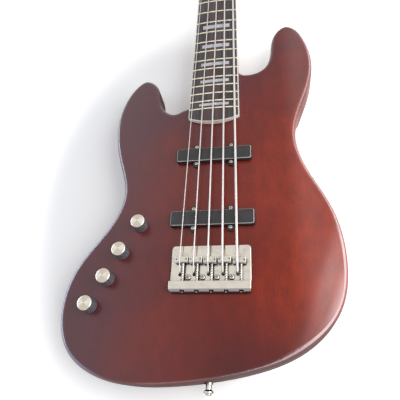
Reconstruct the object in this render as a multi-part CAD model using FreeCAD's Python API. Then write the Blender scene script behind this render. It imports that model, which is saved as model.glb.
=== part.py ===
import FreeCAD
import Part
import math
import os

V = FreeCAD.Vector

# A left-handed five-string electric bass with a bolted neck, in millimetres.
# The back of the body lies on Z = 0, the neck runs along +Y, the thick strings are at +X.
# Y = 0 is the end of the scale at the bridge, X = 0 the middle of the strings.

# Scale and strings, listed from the thin string at -X to the thick one at +X
SCALE_LENGTH = 863.6
STRING_NAMES = ("g", "d", "a", "e", "b")
STRING_COUNT = len(STRING_NAMES)
STRING_DIAMETERS = (1.14, 1.65, 2.16, 2.67, 3.30)
NUT_STRING_PITCH = 9.2
BRIDGE_STRING_PITCH = 16.5
ACTION_AT_FIRST_FRET = 0.5
ACTION_AT_OCTAVE = 2.2
STRING_SEAT_CLEARANCE = 0.08

# Body
BODY_WIDTH = 332.0
BODY_LENGTH = 503.0
BODY_THICKNESS = 40.0
BODY_EDGE_RADIUS = 7.0
LOWER_OUTLINE_SHARES = (
    (0.322, 0.341), (0.352, 0.241), (0.424, 0.137), (0.462, 0.010), (0.430, -0.105), (0.311, -0.190),
    (0.119, -0.240), (-0.134, -0.266), (-0.354, -0.256), (-0.487, -0.199), (-0.528, -0.102),
    (-0.488, -0.003), (-0.393, 0.092), (-0.350, 0.180), (-0.386, 0.278),
)
BASS_SIDE_SHARES = ((0.382, 0.186), (0.412, 0.086), (0.377, -0.027))
TREBLE_SIDE_SHARES = ((-0.422, -0.080), (-0.387, 0.018))
BASS_CUTAWAY_SHARES = ((0.144, 0.059), (0.278, 0.080), (0.351, 0.141))
TREBLE_CUTAWAY_SHARES = ((-0.361, 0.010), (-0.278, -0.049), (-0.166, -0.063), (-0.092, -0.054))
BASS_HORN_SHARES = (0.315, 0.200)
TREBLE_HORN_SHARES = (-0.312, 0.035)
HORN_TIP_RADIUS = 16.5
HORN_TIP_TURNS = (155.0, 92.0, 25.0)
OUTLINE_PARTS = 4
JACK_OUTLINE_POINT = 10
FOREARM_RADIUS = 115.0
FOREARM_DEPTH = 14.0
FOREARM_LINE_SHARES = ((0.421, 0.127), (0.210, -0.217))
BELLY_RADIUS = 180.0
BELLY_DEPTH = 14.0
BELLY_REACH = 52.0
BELLY_PLACE_SHARES = (0.318, 0.340)

# Neck, heel and headstock
NUT_WIDTH = 46.0
LAST_FRET_WIDTH = 69.4
NECK_DEPTH_AT_NUT = 15.0
NECK_DEPTH_AT_HEEL = 17.0
HEEL_DEPTH = 20.0
HEEL_LENGTH = 87.0
HEEL_BEYOND_LAST_FRET = 10.0
HEEL_BLEND = 34.0
HEEL_CLEARANCE = 0.1
HEEL_OUTLINE_SHARES = (
    (-1.02, 0.25), (-0.955, 0.40), (-0.955, 0.64), (-0.90, 0.90), (-0.50, 0.98),
    (0.35, 0.98), (0.93, 0.95), (1.06, 0.88),
)
SHAFT_SQUARENESS = 2.2
HEEL_SQUARENESS = 6.0
SHAFT_SECTIONS = 6
BLEND_SECTIONS = 5
SECTION_POINTS = 17
HEAD_LENGTH = 179.0
HEAD_WIDTH = 92.0
HEAD_THICKNESS = 14.5
HEAD_DROP = 7.0
HEAD_EDGE_RADIUS = 1.6
HEAD_BLEND = 30.0
HEAD_OUTLINE_SHARES = (
    (0.293, 0.134), (0.446, 0.212), (0.500, 0.313), (0.505, 0.469), (0.489, 0.648),
    (0.467, 0.816), (0.370, 0.939), (0.152, 1.000), (-0.130, 0.961), (-0.348, 0.827),
    (-0.457, 0.682), (-0.495, 0.514), (-0.500, 0.369), (-0.451, 0.246), (-0.293, 0.134),
)

# Fingerboard, frets, binding, inlays and nut
FRET_COUNT = 24
BOARD_THICKNESS = 6.0
BOARD_RADIUS = 305.0
BOARD_BEYOND_LAST_FRET = 14.5
BOARD_END_SAG = 8.5
BINDING_WIDTH = 1.3
FRET_WIDTH = 2.0
FRET_HEIGHT = 1.0
FRET_END_INSET = 0.6
TANG_WIDTH = 0.6
TANG_DEPTH = 1.6
INLAY_FRETS = (3, 5, 7, 9, 12, 15, 17, 19, 21, 24)
INLAY_WIDTH = 41.0
INLAY_DEPTH = 1.6
INLAY_LENGTH_SHARE = 0.34
NUT_LENGTH = 4.6
NUT_RISE = 1.6

# Truss rod in its channel, with an adjusting nut that shows behind the string nut
ROD_DIAMETER = 6.0
ROD_CHANNEL_DEPTH = 10.0
ROD_CHANNEL_CLEARANCE = 0.1
ROD_END_MARGIN = 14.0
ROD_NUT_LENGTH = 11.0
ROD_NUT_SOCKET = 4.0
ROD_NUT_SOCKET_DEPTH = 6.0

# Neck plate and its screws
PLATE_WIDTH = 51.0
PLATE_LENGTH = 64.0
PLATE_THICKNESS = 2.0
PLATE_CORNER_RADIUS = 6.0
PLATE_SCREW_SPACING_X = 38.0
PLATE_SCREW_SPACING_Y = 51.0
NECK_SCREW_DIAMETER = 4.6
NECK_SCREW_HEAD_DIAMETER = 8.6
NECK_SCREW_BITE = 15.0

# Bridge
HARDWARE_OFFSET_X = 2.0
BRIDGE_WIDTH = 92.0
BRIDGE_FRONT_Y = 16.6
BRIDGE_LENGTH = 56.0
BRIDGE_PLATE_THICKNESS = 3.0
BRIDGE_WALL_THICKNESS = 12.3
BRIDGE_WALL_LEAN = 3.2
BRIDGE_WALL_HEIGHT = 11.2
BRIDGE_CORNER_RADIUS = 4.0
BRIDGE_EDGE_RADIUS = 0.8
STRING_HOLE_Y = -18.0
STRING_HOLE_DIAMETER = 4.0
BRIDGE_SCREW_Y = -21.5
BRIDGE_SCREW_OFFSET_X = 9.6
BRIDGE_SCREW_DIAMETER = 3.2
BRIDGE_SCREW_LENGTH = 22.0
BRIDGE_SCREW_HEAD_DIAMETER = 6.4
BRIDGE_SCREW_HEAD_HEIGHT = 2.2
FERRULE_DIAMETER = 9.5
FERRULE_LENGTH = 9.0
FERRULE_CUP_DIAMETER = 6.6
FERRULE_CUP_DEPTH = 6.0
BALL_DIAMETER = 6.0
BALL_LENGTH = 4.2

# Saddles with their height screws, intonation screws and springs
SADDLE_WIDTH = 15.0
SADDLE_LENGTH = 7.0
SADDLE_FRONT_Y = 1.8
SADDLE_SETBACKS = (0.0, 0.6, 1.3, 0.9, 1.8)
SADDLE_FLOOR_GAP = 1.2
SADDLE_LIP = 0.8
SADDLE_EDGE_RADIUS = 0.6
SADDLE_OFFSET_X = 2.1
HEIGHT_SCREW_OFFSET_X = 5.6
HEIGHT_SCREW_DIAMETER = 2.6
HEIGHT_SCREW_SOCKET = 1.3
HEIGHT_SCREW_SOCKET_DEPTH = 1.5
HEIGHT_SCREW_SINK = 0.3
TONE_SCREW_DIAMETER = 2.6
TONE_SCREW_OFFSET_X = 4.2
TONE_SCREW_RISE = 4.4
TONE_SCREW_TIP_Y = 1.0
TONE_SCREW_HEAD_DIAMETER = 4.6
TONE_SCREW_HEAD_HEIGHT = 2.0
TONE_SCREW_RECESS = 4.6
TONE_SCREW_HEAD_ROOM = 0.3
SPRING_WIRE_DIAMETER = 0.45
SPRING_COIL_DIAMETER = 3.7
SPRING_TURNS = 7
SPRING_END_GAP = 0.15

# Pickups: centre line in Y, length of the cover in X
PICKUP_NAMES = ("neck", "bridge")
PICKUP_CENTRES_Y = (141.0, 51.0)
PICKUP_LENGTHS = (96.0, 101.0)
PICKUP_WIDTH = 19.0
PICKUP_RISE = 7.0
PICKUP_COVER_HEIGHT = 17.0
PICKUP_WALL = 1.4
PICKUP_CORNER_RADIUS = 2.6
PICKUP_EDGE_RADIUS = 1.2
PICKUP_ROUT_DEPTH = 19.0
PICKUP_ROUT_CLEARANCE = 0.5
PICKUP_EAR_DIAMETER = 8.6
PICKUP_EAR_THICKNESS = 3.0
PICKUP_EAR_GAP = 0.3
PICKUP_SCREW_SPACING_X = 45.0
PICKUP_SCREW_SPACING_Y = 25.0
PICKUP_SCREW_DIAMETER = 2.6
PICKUP_SCREW_LENGTH = 18.0
PICKUP_SCREW_HEAD_DIAMETER = 4.8
PICKUP_SCREW_HEAD_HEIGHT = 1.7
COIL_WINDOW_WIDTH = 6.0
COIL_GAP = 0.3
COIL_HEIGHT = 11.0
FLATWORK_THICKNESS = 1.6
MAGNET_HEIGHT_SPARE = 0.4

# Controls
KNOB_NAMES = ("volume", "blend", "treble", "bass")
KNOB_COUNT = len(KNOB_NAMES)
KNOB_PLACE_SHARES = ((-0.2623, 0.0909), (-0.3217, 0.0217), (-0.3654, -0.0423), (-0.4169, -0.1046))
KNOB_DIAMETER = 18.6
KNOB_TOP_DIAMETER = 17.4
KNOB_HEIGHT = 16.4
KNOB_FLOOR_GAP = 0.8
KNOB_DOME = 1.1
KNOB_TOP_EDGE = 1.6
KNOB_SKIRT_DIAMETER = 15.0
KNOB_SKIRT_DEPTH = 5.0
KNOB_SHAFT_GRIP = 9.0
SET_SCREW_DIAMETER = 3.0
SET_SCREW_HEIGHT = 12.0
SET_SCREW_SINK = 0.4
SET_SCREW_SOCKET = 1.5
SET_SCREW_SOCKET_DEPTH = 2.0
SET_SCREW_TURN = -45.0
POT_DIAMETER = 17.0
POT_HEIGHT = 9.0
POT_BUSH_DIAMETER = 7.4
POT_BUSH_RISE = 5.0
POT_SHAFT_DIAMETER = 6.0
POT_SHAFT_SINK = 3.0
POT_HOLE_CLEARANCE = 0.2
POT_WASHER_DIAMETER = 12.4
POT_WASHER_THICKNESS = 0.6
POT_NUT_WIDTH = 10.0
POT_NUT_THICKNESS = 2.2
CAVITY_HALF_WIDTH = 22.0
CAVITY_END_MARGIN = 19.0
CAVITY_SHIFT = 6.0
CAVITY_CORNER_RADIUS = 10.0
CAVITY_ROOF = 7.0
COVER_LEDGE = 5.0
COVER_THICKNESS = 2.4
COVER_CLEARANCE = 0.3
COVER_SCREW_DIAMETER = 2.4
COVER_SCREW_HEAD_DIAMETER = 4.4
COVER_SCREW_LENGTH = 11.0
BATTERY_LENGTH = 48.5
BATTERY_WIDTH = 26.0
BATTERY_HEIGHT = 17.0
BATTERY_TERMINAL_HEIGHT = 2.4
BATTERY_TERMINAL_DIAMETER = 7.0
BATTERY_TERMINAL_SPACING = 12.7
BATTERY_PLACE_SHARE = 0.68
BOARD_PLACE_SHARE = 0.27
PREAMP_LENGTH = 40.0
PREAMP_WIDTH = 24.0
PREAMP_THICKNESS = 1.6
PREAMP_STAND_HEIGHT = 5.0
PREAMP_STAND_DIAMETER = 4.0
CHIP_LENGTH = 9.0
CHIP_WIDTH = 6.0
CHIP_HEIGHT = 3.0

# Output jack in the edge of the body
JACK_BORE_DIAMETER = 6.5
JACK_BORE_DEPTH = 20.0
JACK_BARREL_DIAMETER = 12.0
JACK_BARREL_LENGTH = 24.0
JACK_FLANGE_DIAMETER = 19.0
JACK_FLANGE_THICKNESS = 2.0
JACK_FLANGE_SINK = 1.2
JACK_NUT_WIDTH = 14.0
JACK_NUT_THICKNESS = 3.0
JACK_CLEARANCE = 0.15

# Strap buttons
BUTTON_LENGTH = 11.0
BUTTON_BASE_DIAMETER = 9.4
BUTTON_WAIST_DIAMETER = 6.4
BUTTON_END_DIAMETER = 10.6
BUTTON_RIM = 1.8
BUTTON_SEAT_SINK = 0.8
BUTTON_SEAT_CLEARANCE = 0.3
BUTTON_SCREW_DIAMETER = 3.6
BUTTON_SCREW_LENGTH = 26.0
BUTTON_SCREW_HEAD_DIAMETER = 6.4
BUTTON_SCREW_HEAD_HEIGHT = 2.2

# Tuning machines, in a frame with the post along +Z and the key towards +X
POST_PLACE_SHARES = ((-0.337, 0.380), (-0.304, 0.626), (0.288, 0.771), (0.315, 0.536), (0.337, 0.302))
POST_DIAMETER = 9.5
POST_RISE = 23.0
POST_CAP_DIAMETER = 12.6
POST_CAP_THICKNESS = 2.4
POST_HOLE_DIAMETER = 3.7
POST_HOLE_DEPTH = 14.0
POST_FOOT_DIAMETER = 6.0
SLOT_CLEARANCE = 0.3
RUNNING_CLEARANCE = 0.05
BUSHING_DIAMETER = 17.0
BUSHING_SLEEVE_DIAMETER = 14.0
BUSHING_SLEEVE_LENGTH = 8.0
BUSHING_FLANGE = 2.0
GEAR_TEETH = 20
WORM_PITCH = 2.0
WORM_PITCH_DIAMETER = 6.0
TOOTH_ADDENDUM = 0.6
TOOTH_DEDENDUM = 0.75
TOOTH_WIDTH_SHARE = 0.34
TOOTH_TIP_SHARE = 0.22
MESH_CLEARANCE = 0.15
GEAR_THICKNESS = 4.2
GEAR_PLATE_GAP = 2.0
GEAR_SCREW_DIAMETER = 7.0
GEAR_SCREW_HEIGHT = 1.6
WORM_TURNS = 4
WORM_SHAFT_DIAMETER = 4.4
MACHINE_PLATE_THICKNESS = 1.6
MACHINE_PLATE_INNER = 10.0
MACHINE_PLATE_OUTER = 12.5
MACHINE_PLATE_BACK = 9.5
MACHINE_PLATE_FRONT = 19.0
MACHINE_PLATE_CORNER = 2.5
LUG_THICKNESS = 3.0
LUG_HALF_WIDTH = 4.0
LUG_INNER_X = 6.2
LUG_OUTER_X = 6.8
LUG_TAIL = 4.0
KEY_START = 19.5
KEY_WIDTH = 25.0
KEY_LENGTH = 23.0
KEY_THICKNESS = 4.6
KEY_COLLAR_DIAMETER = 7.4
KEY_COLLAR_LENGTH = 5.0
KEY_EDGE_RADIUS = 1.5
KEY_OUTLINE_SHARES = (
    (0.0, 0.12), (0.12, 0.40), (0.45, 0.50), (0.84, 0.41), (1.0, 0.17), (0.96, 0.0),
    (1.0, -0.17), (0.84, -0.41), (0.45, -0.50), (0.12, -0.40), (0.0, -0.12),
)
MACHINE_SCREW_DIAMETER = 2.2
MACHINE_SCREW_LENGTH = 10.0
MACHINE_SCREW_HEAD_DIAMETER = 4.0
MACHINE_SCREW_HEAD_HEIGHT = 1.3
MACHINE_SCREW_INSET = 3.0

# String retainer bar behind the nut
RETAINER_Y = 31.0
RETAINER_LENGTH = 62.0
RETAINER_WIDTH = 7.0
RETAINER_HEIGHT = 5.0
RETAINER_RISE = 10.2
RETAINER_EDGE_RADIUS = 1.5
RETAINER_SCREW_SPACING = 54.0
RETAINER_SCREW_DIAMETER = 3.0
RETAINER_SCREW_BITE = 8.0
RETAINER_SCREW_HEAD_DIAMETER = 5.4
RETAINER_SCREW_HEAD_HEIGHT = 2.0
RETAINER_PILLAR_DIAMETER = 6.0

# String bends and windings
WINDING_TURNS = 2.25
WINDING_GAP = 0.45
WINDING_SEAT_GAP = 0.12
HOLE_BEND_RADIUS = 4.0
SADDLE_BEND_RADIUS = 5.0
NUT_BEND_RADIUS = 14.0
SLOT_BEND_SHARE = 0.58
SLOT_RUN = 4.0
HOLE_BEND_RISE_SHARE = 0.7
SADDLE_BREAK_INSET = 1.6
GAP_SPACING = 0.3

# General
SCREW_FIT = 0.05
CUT_OVERRUN = 5.0
STRAIGHT_LIMIT = 1e-7
PHILLIPS_WIDTH_SHARE = 0.18
PHILLIPS_SPAN_SHARE = 0.62
PHILLIPS_DEPTH_SHARE = 0.45

# Places worked out from the sizes above
BODY_TOP = BODY_THICKNESS
BOARD_TOP = BODY_TOP + BOARD_THICKNESS
NUT_Y = SCALE_LENGTH
HEAD_FACE = BODY_TOP - HEAD_DROP
HEAD_BACK = HEAD_FACE - HEAD_THICKNESS
PLATE_TOP = BODY_TOP + BRIDGE_PLATE_THICKNESS
BRIDGE_REAR_Y = BRIDGE_FRONT_Y - BRIDGE_LENGTH
WALL_FRONT_Y = BRIDGE_REAR_Y + BRIDGE_WALL_THICKNESS
TONE_SCREW_SEAT_Y = BRIDGE_REAR_Y + TONE_SCREW_RECESS
TONE_SCREW_Z = PLATE_TOP + TONE_SCREW_RISE
CAVITY_TOP = BODY_TOP - CAVITY_ROOF
MIDDLE_STRING = (STRING_COUNT - 1) / 2
GEAR_PITCH_RADIUS = GEAR_TEETH * WORM_PITCH / (2 * math.pi)
WORM_OFFSET_Y = GEAR_PITCH_RADIUS + WORM_PITCH_DIAMETER / 2 + MESH_CLEARANCE
GEAR_TOP = -MACHINE_PLATE_THICKNESS - GEAR_PLATE_GAP
WORM_Z = GEAR_TOP - GEAR_THICKNESS / 2
RETAINER_FLOOR = HEAD_FACE + RETAINER_RISE


def fret_y(number):
    """Distance of a fret from the bridge end of the scale."""
    return SCALE_LENGTH * 2 ** (-number / 12)


def half_width(y):
    """Half the width of the neck at a place along it."""
    slope = (LAST_FRET_WIDTH - NUT_WIDTH) / (NUT_Y - fret_y(FRET_COUNT))
    return (NUT_WIDTH + slope * (NUT_Y - y)) / 2


def board_sag(x):
    """How far the curved playing surface lies below its middle."""
    return BOARD_RADIUS - math.sqrt(BOARD_RADIUS ** 2 - x ** 2)


POCKET_END_Y = fret_y(FRET_COUNT) - HEEL_BEYOND_LAST_FRET
POCKET_MOUTH_Y = POCKET_END_Y + HEEL_LENGTH
HEEL_MIDDLE = V(0, POCKET_END_Y + HEEL_LENGTH / 2, 0)
BOARD_CORNER_Y = fret_y(FRET_COUNT) - BOARD_BEYOND_LAST_FRET
HEAD_START_Y = NUT_Y + NUT_LENGTH


# Simple solids

def block(x0, x1, y0, y1, z0, z1):
    """A box between two corners."""
    return Part.makeBox(x1 - x0, y1 - y0, z1 - z0, V(x0, y0, z0))


def rod(diameter, start, end):
    """A round bar between two points."""
    axis = end - start
    return Part.makeCylinder(diameter / 2, axis.Length, start, axis)


def prism(points, z0, z1):
    """A straight-sided outline raised from z0 to z1."""
    corners = [V(x, y, z0) for x, y in points]
    wire = Part.makePolygon(corners + corners[:1])
    return Part.Face(wire).extrude(V(0, 0, z1 - z0))


def rounded_plate(x0, x1, y0, y1, z0, z1, radius):
    """A box with rounded upright edges."""
    plate = block(x0, x1, y0, y1, z0, z1)
    upright = [e for e in plate.Edges if abs(e.Vertexes[0].Z - e.Vertexes[1].Z) > (z1 - z0) / 2]
    return plate.makeFillet(radius, upright)


def centred_plate(middle, size_x, size_y, z0, z1, radius):
    """A rounded plate about a middle point, by its two sizes."""
    x0, y0 = middle.x - size_x / 2, middle.y - size_y / 2
    return rounded_plate(x0, x0 + size_x, y0, y0 + size_y, z0, z1, radius)


def corners_about(middle, spacing_x, spacing_y):
    """The four corners of a rectangle about its middle."""
    return [middle + V(x * spacing_x / 2, y * spacing_y / 2, 0) for x in (-1, 1) for y in (-1, 1)]


def hexagon(width, centre, height):
    """A hexagonal bar along +Z, measured across its flats."""
    corner = width / math.sqrt(3)
    points = []
    for step in range(6):
        turn = math.pi * step / 3
        points.append((centre.x + corner * math.cos(turn), centre.y + corner * math.sin(turn)))
    return prism(points, centre.z, centre.z + height)


def edges_at_height(shape, z, slack):
    """The edges that lie flat at one height."""
    boxes = [(edge, edge.BoundBox) for edge in shape.Edges]
    return [edge for edge, box in boxes if abs(box.ZMin - z) < slack and abs(box.ZMax - z) < slack]


def smooth_outline(points, z, parts):
    """A closed smooth curve through points, in a few edges, as a face at height z."""
    curve = Part.BSplineCurve()
    curve.interpolate(Points=[V(x, y, z) for x, y in points], PeriodicFlag=True)
    first, last = curve.FirstParameter, curve.LastParameter
    cuts = [first + (last - first) * step / parts for step in range(parts + 1)]
    return Part.Face(Part.Wire([curve.toShape(a, b) for a, b in zip(cuts, cuts[1:])]))


def cross_recess(head_diameter, head_height, top):
    """The cross cut in a screw head whose top is at a point, along +Z."""
    wide = head_diameter * PHILLIPS_WIDTH_SHARE / 2
    span = head_diameter * PHILLIPS_SPAN_SHARE / 2
    low = top.z - head_height * PHILLIPS_DEPTH_SHARE
    high = top.z + head_height
    first = block(top.x - wide, top.x + wide, top.y - span, top.y + span, low, high)
    second = block(top.x - span, top.x + span, top.y - wide, top.y + wide, low, high)
    return first.fuse(second)


def pan_screw(shank, length, head, head_height):
    """A cross-head screw that points down, with the underside of its head at the origin."""
    top = V(0, 0, head_height)
    dome = Part.makeCylinder(head / 2, head_height, V(0, 0, 0), V(0, 0, 1))
    dome = dome.makeFillet(head_height / 2, edges_at_height(dome, head_height, head_height / 4))
    screw = dome.fuse(rod(shank, V(0, 0, 0), V(0, 0, -length)))
    return screw.cut(cross_recess(head, head_height, top)).removeSplitter()


def countersunk_screw(shank, length, head):
    """A flat-head screw that points up, with its head flush at the origin."""
    depth = (head - shank) / 2
    cone = Part.makeCone(head / 2, shank / 2, depth, V(0, 0, 0), V(0, 0, 1))
    screw = cone.fuse(rod(shank, V(0, 0, depth), V(0, 0, length)))
    flipped = cross_recess(head, depth, V(0, 0, 0))
    flipped.rotate(V(0, 0, 0), V(1, 0, 0), 180)
    return screw.cut(flipped).removeSplitter()


def countersunk_hole(shank, length, head):
    """The space that a flat-head screw fills, open below."""
    depth = (head - shank) / 2
    wide = head / 2 + SCREW_FIT
    narrow = shank / 2 + SCREW_FIT
    cone = Part.makeCone(wide, narrow, depth, V(0, 0, 0), V(0, 0, 1))
    hole = rod(2 * narrow, V(0, 0, depth), V(0, 0, length + SCREW_FIT))
    return cone.fuse([hole, rod(2 * wide, V(0, 0, -CUT_OVERRUN), V(0, 0, 0))])


def screw_hole(diameter, start, end):
    """The hole for the shank of a screw between two points."""
    return rod(diameter + 2 * SCREW_FIT, start, end)


def bearing_bore(diameter, start, end):
    """A bore in which a shaft of a given size turns freely."""
    return rod(diameter + 2 * RUNNING_CLEARANCE, start, end)


def moved(shape, place):
    """A copy of a shape, shifted."""
    copy = shape.copy()
    copy.translate(place)
    return copy


# Tubes along lines and arcs

def arc_from(start, tangent, end):
    """The arc that leaves start along tangent and reaches end, or a straight run."""
    chord = end - start
    along = V(chord).normalize()
    across = tangent - along * tangent.dot(along)
    if across.Length < STRAIGHT_LIMIT:
        return Part.LineSegment(start, end).toShape()
    half_turn = math.atan2(across.Length, tangent.dot(along)) / 2
    middle = (start + end) * 0.5 + V(across).normalize() * (chord.Length / 2 * math.tan(half_turn))
    return Part.Arc(start, middle, end).toShape()


def biarc(start, start_tangent, end, end_tangent):
    """Two arcs that join two points with given directions."""
    span = end - start
    both = start_tangent + end_tangent
    spread = 2 * (1 - start_tangent.dot(end_tangent))
    reach = span.dot(both)
    size = (-reach + math.sqrt(reach ** 2 + spread * span.dot(span))) / spread
    joint = (start + end + (start_tangent - end_tangent) * size) * 0.5
    first = arc_from(start, start_tangent, joint)
    back = arc_from(end, end_tangent * -1, joint)
    second = Part.Arc(joint, back.valueAt((back.FirstParameter + back.LastParameter) / 2), end).toShape()
    return [first, second]


def rounded_runs(points, radii):
    """Straight runs through points, with an arc of a given radius at each corner between."""
    edges = []
    last = points[0]
    for before, corner, after, radius in zip(points, points[1:], points[2:], radii):
        arriving = V(corner - before).normalize()
        leaving = V(after - corner).normalize()
        turn = math.acos(max(-1.0, min(1.0, arriving.dot(leaving))))
        setback = radius * math.tan(turn / 2)
        start = corner - arriving * setback
        end = corner + leaving * setback
        edges.append(Part.LineSegment(last, start).toShape())
        edges.append(arc_from(start, arriving, end))
        last = end
    edges.append(Part.LineSegment(last, points[-1]).toShape())
    return edges


def helix_point(centre, radius, pitch, angle, sense):
    """A point of a helix about +Z and its direction there; sense is 1 or -1."""
    climb = pitch / (2 * math.pi)
    outward = V(math.cos(sense * angle), math.sin(sense * angle), 0)
    onward = V(-outward.y, outward.x, 0) * sense
    place = centre + outward * radius + V(0, 0, climb * angle)
    return place, (onward * radius + V(0, 0, climb)).normalize()


def helix_edges(centre, radius, pitch, start_angle, turns, sense, first_way):
    """A helix in arcs of about a quarter turn each; it may start along a way of its own."""
    steps = max(1, math.ceil(turns * 4))
    base = centre - V(0, 0, pitch * start_angle / (2 * math.pi))
    edges = []
    for step in range(steps):
        angles = [start_angle + 2 * math.pi * turns * (step + k) / steps for k in (0, 1)]
        (p0, t0), (p1, t1) = [helix_point(base, radius, pitch, a, sense) for a in angles]
        if step == 0 and first_way:
            t0 = first_way
        edges += biarc(p0, t0, p1, t1)
    return edges


def tube(edges, diameter):
    """A round tube along joined edges."""
    path = Part.Wire(edges)
    first = edges[0]
    start = first.valueAt(first.FirstParameter)
    way = first.tangentAt(first.FirstParameter)
    ring = Part.Wire([Part.makeCircle(diameter / 2, start, way)])
    return path.makePipeShell([ring], True, False)


def least_gap(edges, diameter, spacing):
    """The smallest clear distance between stretches of a tube that are not neighbours."""
    points = Part.Wire(edges).discretize(Distance=spacing)
    skip = math.ceil(math.pi * diameter / spacing) + 1
    gaps = []
    for number, point in enumerate(points):
        gaps += [(point - other).Length for other in points[number + skip:]]
    return min(gaps) - diameter


# Body

def lower_place(shares):
    """A point of the large bouts: shares of the width and the length, from the bridge."""
    return shares[0] * BODY_WIDTH, shares[1] * BODY_LENGTH


def upper_place(shares):
    """A point of the horns: shares of the width and the length, from the middle of the neck joint."""
    return shares[0] * BODY_WIDTH, HEEL_MIDDLE.y + shares[1] * BODY_LENGTH


def cutaway_place(shares):
    """A point beside the neck: its first share is of the room between the heel and the body's side."""
    heel_half = half_width(HEEL_MIDDLE.y)
    side = math.copysign(heel_half, shares[0])
    return side + shares[0] * (BODY_WIDTH / 2 - heel_half), HEEL_MIDDLE.y + shares[1] * BODY_LENGTH


def heel_place(shares):
    """A point under the neck: shares of the heel's half width and of its length."""
    return shares[0] * half_width(HEEL_MIDDLE.y), POCKET_END_Y + shares[1] * HEEL_LENGTH


def horn_tip(shares):
    """The rounded end of a horn, about the middle of its curve."""
    x, y = upper_place(shares)
    turns = [math.radians(turn) for turn in HORN_TIP_TURNS]
    return [(x + HORN_TIP_RADIUS * math.cos(turn), y + HORN_TIP_RADIUS * math.sin(turn)) for turn in turns]


def body_outline():
    """The outline of the body from the bass cutaway round to the other, then the heel under the neck."""
    points = [cutaway_place(shares) for shares in BASS_CUTAWAY_SHARES]
    points += horn_tip(BASS_HORN_SHARES)
    points += [upper_place(shares) for shares in BASS_SIDE_SHARES]
    points += [lower_place(shares) for shares in LOWER_OUTLINE_SHARES]
    points += [upper_place(shares) for shares in TREBLE_SIDE_SHARES]
    points += horn_tip(TREBLE_HORN_SHARES)
    points += [cutaway_place(shares) for shares in TREBLE_CUTAWAY_SHARES]
    points += [heel_place(shares) for shares in HEEL_OUTLINE_SHARES]
    return points


def edge_place(point):
    """A point of the outline as a place at mid thickness."""
    return V(point[0], point[1], BODY_THICKNESS / 2)


def string_x(index, pitch):
    """Where a string crosses the nut or the bridge."""
    return (index - MIDDLE_STRING) * pitch


def knob_place(index):
    """The centre of a control on the top of the body."""
    x, y = KNOB_PLACE_SHARES[index]
    return V(x * BODY_WIDTH, y * BODY_LENGTH, BODY_TOP)


def forearm_cut():
    """What a rounded contour takes off the upper edge of the large bout."""
    ends = [V(x * BODY_WIDTH, y * BODY_LENGTH, BODY_TOP) for x, y in FOREARM_LINE_SHARES]
    along = V(ends[1] - ends[0]).normalize()
    outward = V(0, 0, 1).cross(along)
    reach = BODY_WIDTH / 2
    first = ends[0] - along * reach
    last = ends[1] + along * reach
    corners = [first, last, last + outward * reach, first + outward * reach]
    slab = prism([(p.x, p.y) for p in corners], BODY_TOP - FOREARM_DEPTH, BODY_TOP + CUT_OVERRUN)
    axis_drop = V(0, 0, FOREARM_RADIUS)
    return slab.cut(rod(2 * FOREARM_RADIUS, first - axis_drop, last - axis_drop))


def belly_cut():
    """A scoop in the back at the waist."""
    x, y = [share * size for share, size in zip(BELLY_PLACE_SHARES, (BODY_WIDTH, BODY_LENGTH))]
    edge = V(x, y, BELLY_DEPTH - BELLY_RADIUS)
    inner = V(x - BELLY_REACH, y, -BELLY_RADIUS)
    slope = V(edge - inner).normalize()
    return rod(2 * BELLY_RADIUS, inner - slope * BELLY_REACH, edge + slope * BELLY_REACH)


def pocket_space():
    """The neck pocket, a little wider than the heel."""
    y0 = POCKET_END_Y - HEEL_CLEARANCE
    y1 = POCKET_MOUTH_Y + HEEL_LENGTH
    points = []
    for y, side in ((y0, -1), (y0, 1), (y1, 1), (y1, -1)):
        points.append((side * (half_width(y) + HEEL_CLEARANCE), y))
    return prism(points, BODY_TOP - HEEL_DEPTH, BODY_TOP + CUT_OVERRUN)


def cavity_line():
    """The two ends of the control cavity's middle line, shifted away from the edge."""
    first, last = knob_place(0), knob_place(KNOB_COUNT - 1)
    along = V(last - first).normalize()
    inward = V(0, 0, 1).cross(along)
    shift = inward * CAVITY_SHIFT
    return first - along * CAVITY_END_MARGIN + shift, last + along * CAVITY_END_MARGIN + shift


def cavity_plate(margin, z0, z1):
    """A rounded plate over the control cavity, wider by a margin."""
    start, end = cavity_line()
    span = end - start
    half = CAVITY_HALF_WIDTH + margin
    plate = rounded_plate(-margin, span.Length + margin, -half, half, z0, z1, CAVITY_CORNER_RADIUS)
    plate.rotate(V(0, 0, 0), V(0, 0, 1), math.degrees(math.atan2(span.y, span.x)))
    return moved(plate, V(start.x, start.y, 0))


def cover_screw_places():
    """The four corners of the control cover where its screws go."""
    start, end = cavity_line()
    along = V(end - start).normalize()
    across = V(0, 0, 1).cross(along)
    inset = CAVITY_CORNER_RADIUS / 2 - COVER_LEDGE
    half = CAVITY_HALF_WIDTH - inset
    places = []
    for base, way in ((start, 1), (end, -1)):
        for side in (-1, 1):
            corner = base + along * (way * inset) + across * (side * half)
            places.append(V(corner.x, corner.y, 0))
    return places


def strap_button_places():
    """Each strap button's seat on the edge, and the way it points."""
    horn = edge_place(upper_place(BASS_HORN_SHARES)) + V(0, HORN_TIP_RADIUS, 0)
    tail_curve = smooth_outline(body_outline(), BODY_THICKNESS / 2, OUTLINE_PARTS).OuterWire
    ray = Part.LineSegment(V(0, 0, BODY_THICKNESS / 2), V(0, -BODY_LENGTH, BODY_THICKNESS / 2)).toShape()
    tail = tail_curve.distToShape(ray)[1][0][0]
    return ((V(tail.x, tail.y + BUTTON_SEAT_SINK, tail.z), V(0, -1, 0)),
            (V(horn.x, horn.y - BUTTON_SEAT_SINK, horn.z), V(0, 1, 0)))


def pickup_middle(index):
    """The middle of a pickup, on the top of the body."""
    return V(HARDWARE_OFFSET_X, PICKUP_CENTRES_Y[index], BODY_TOP)


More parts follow.
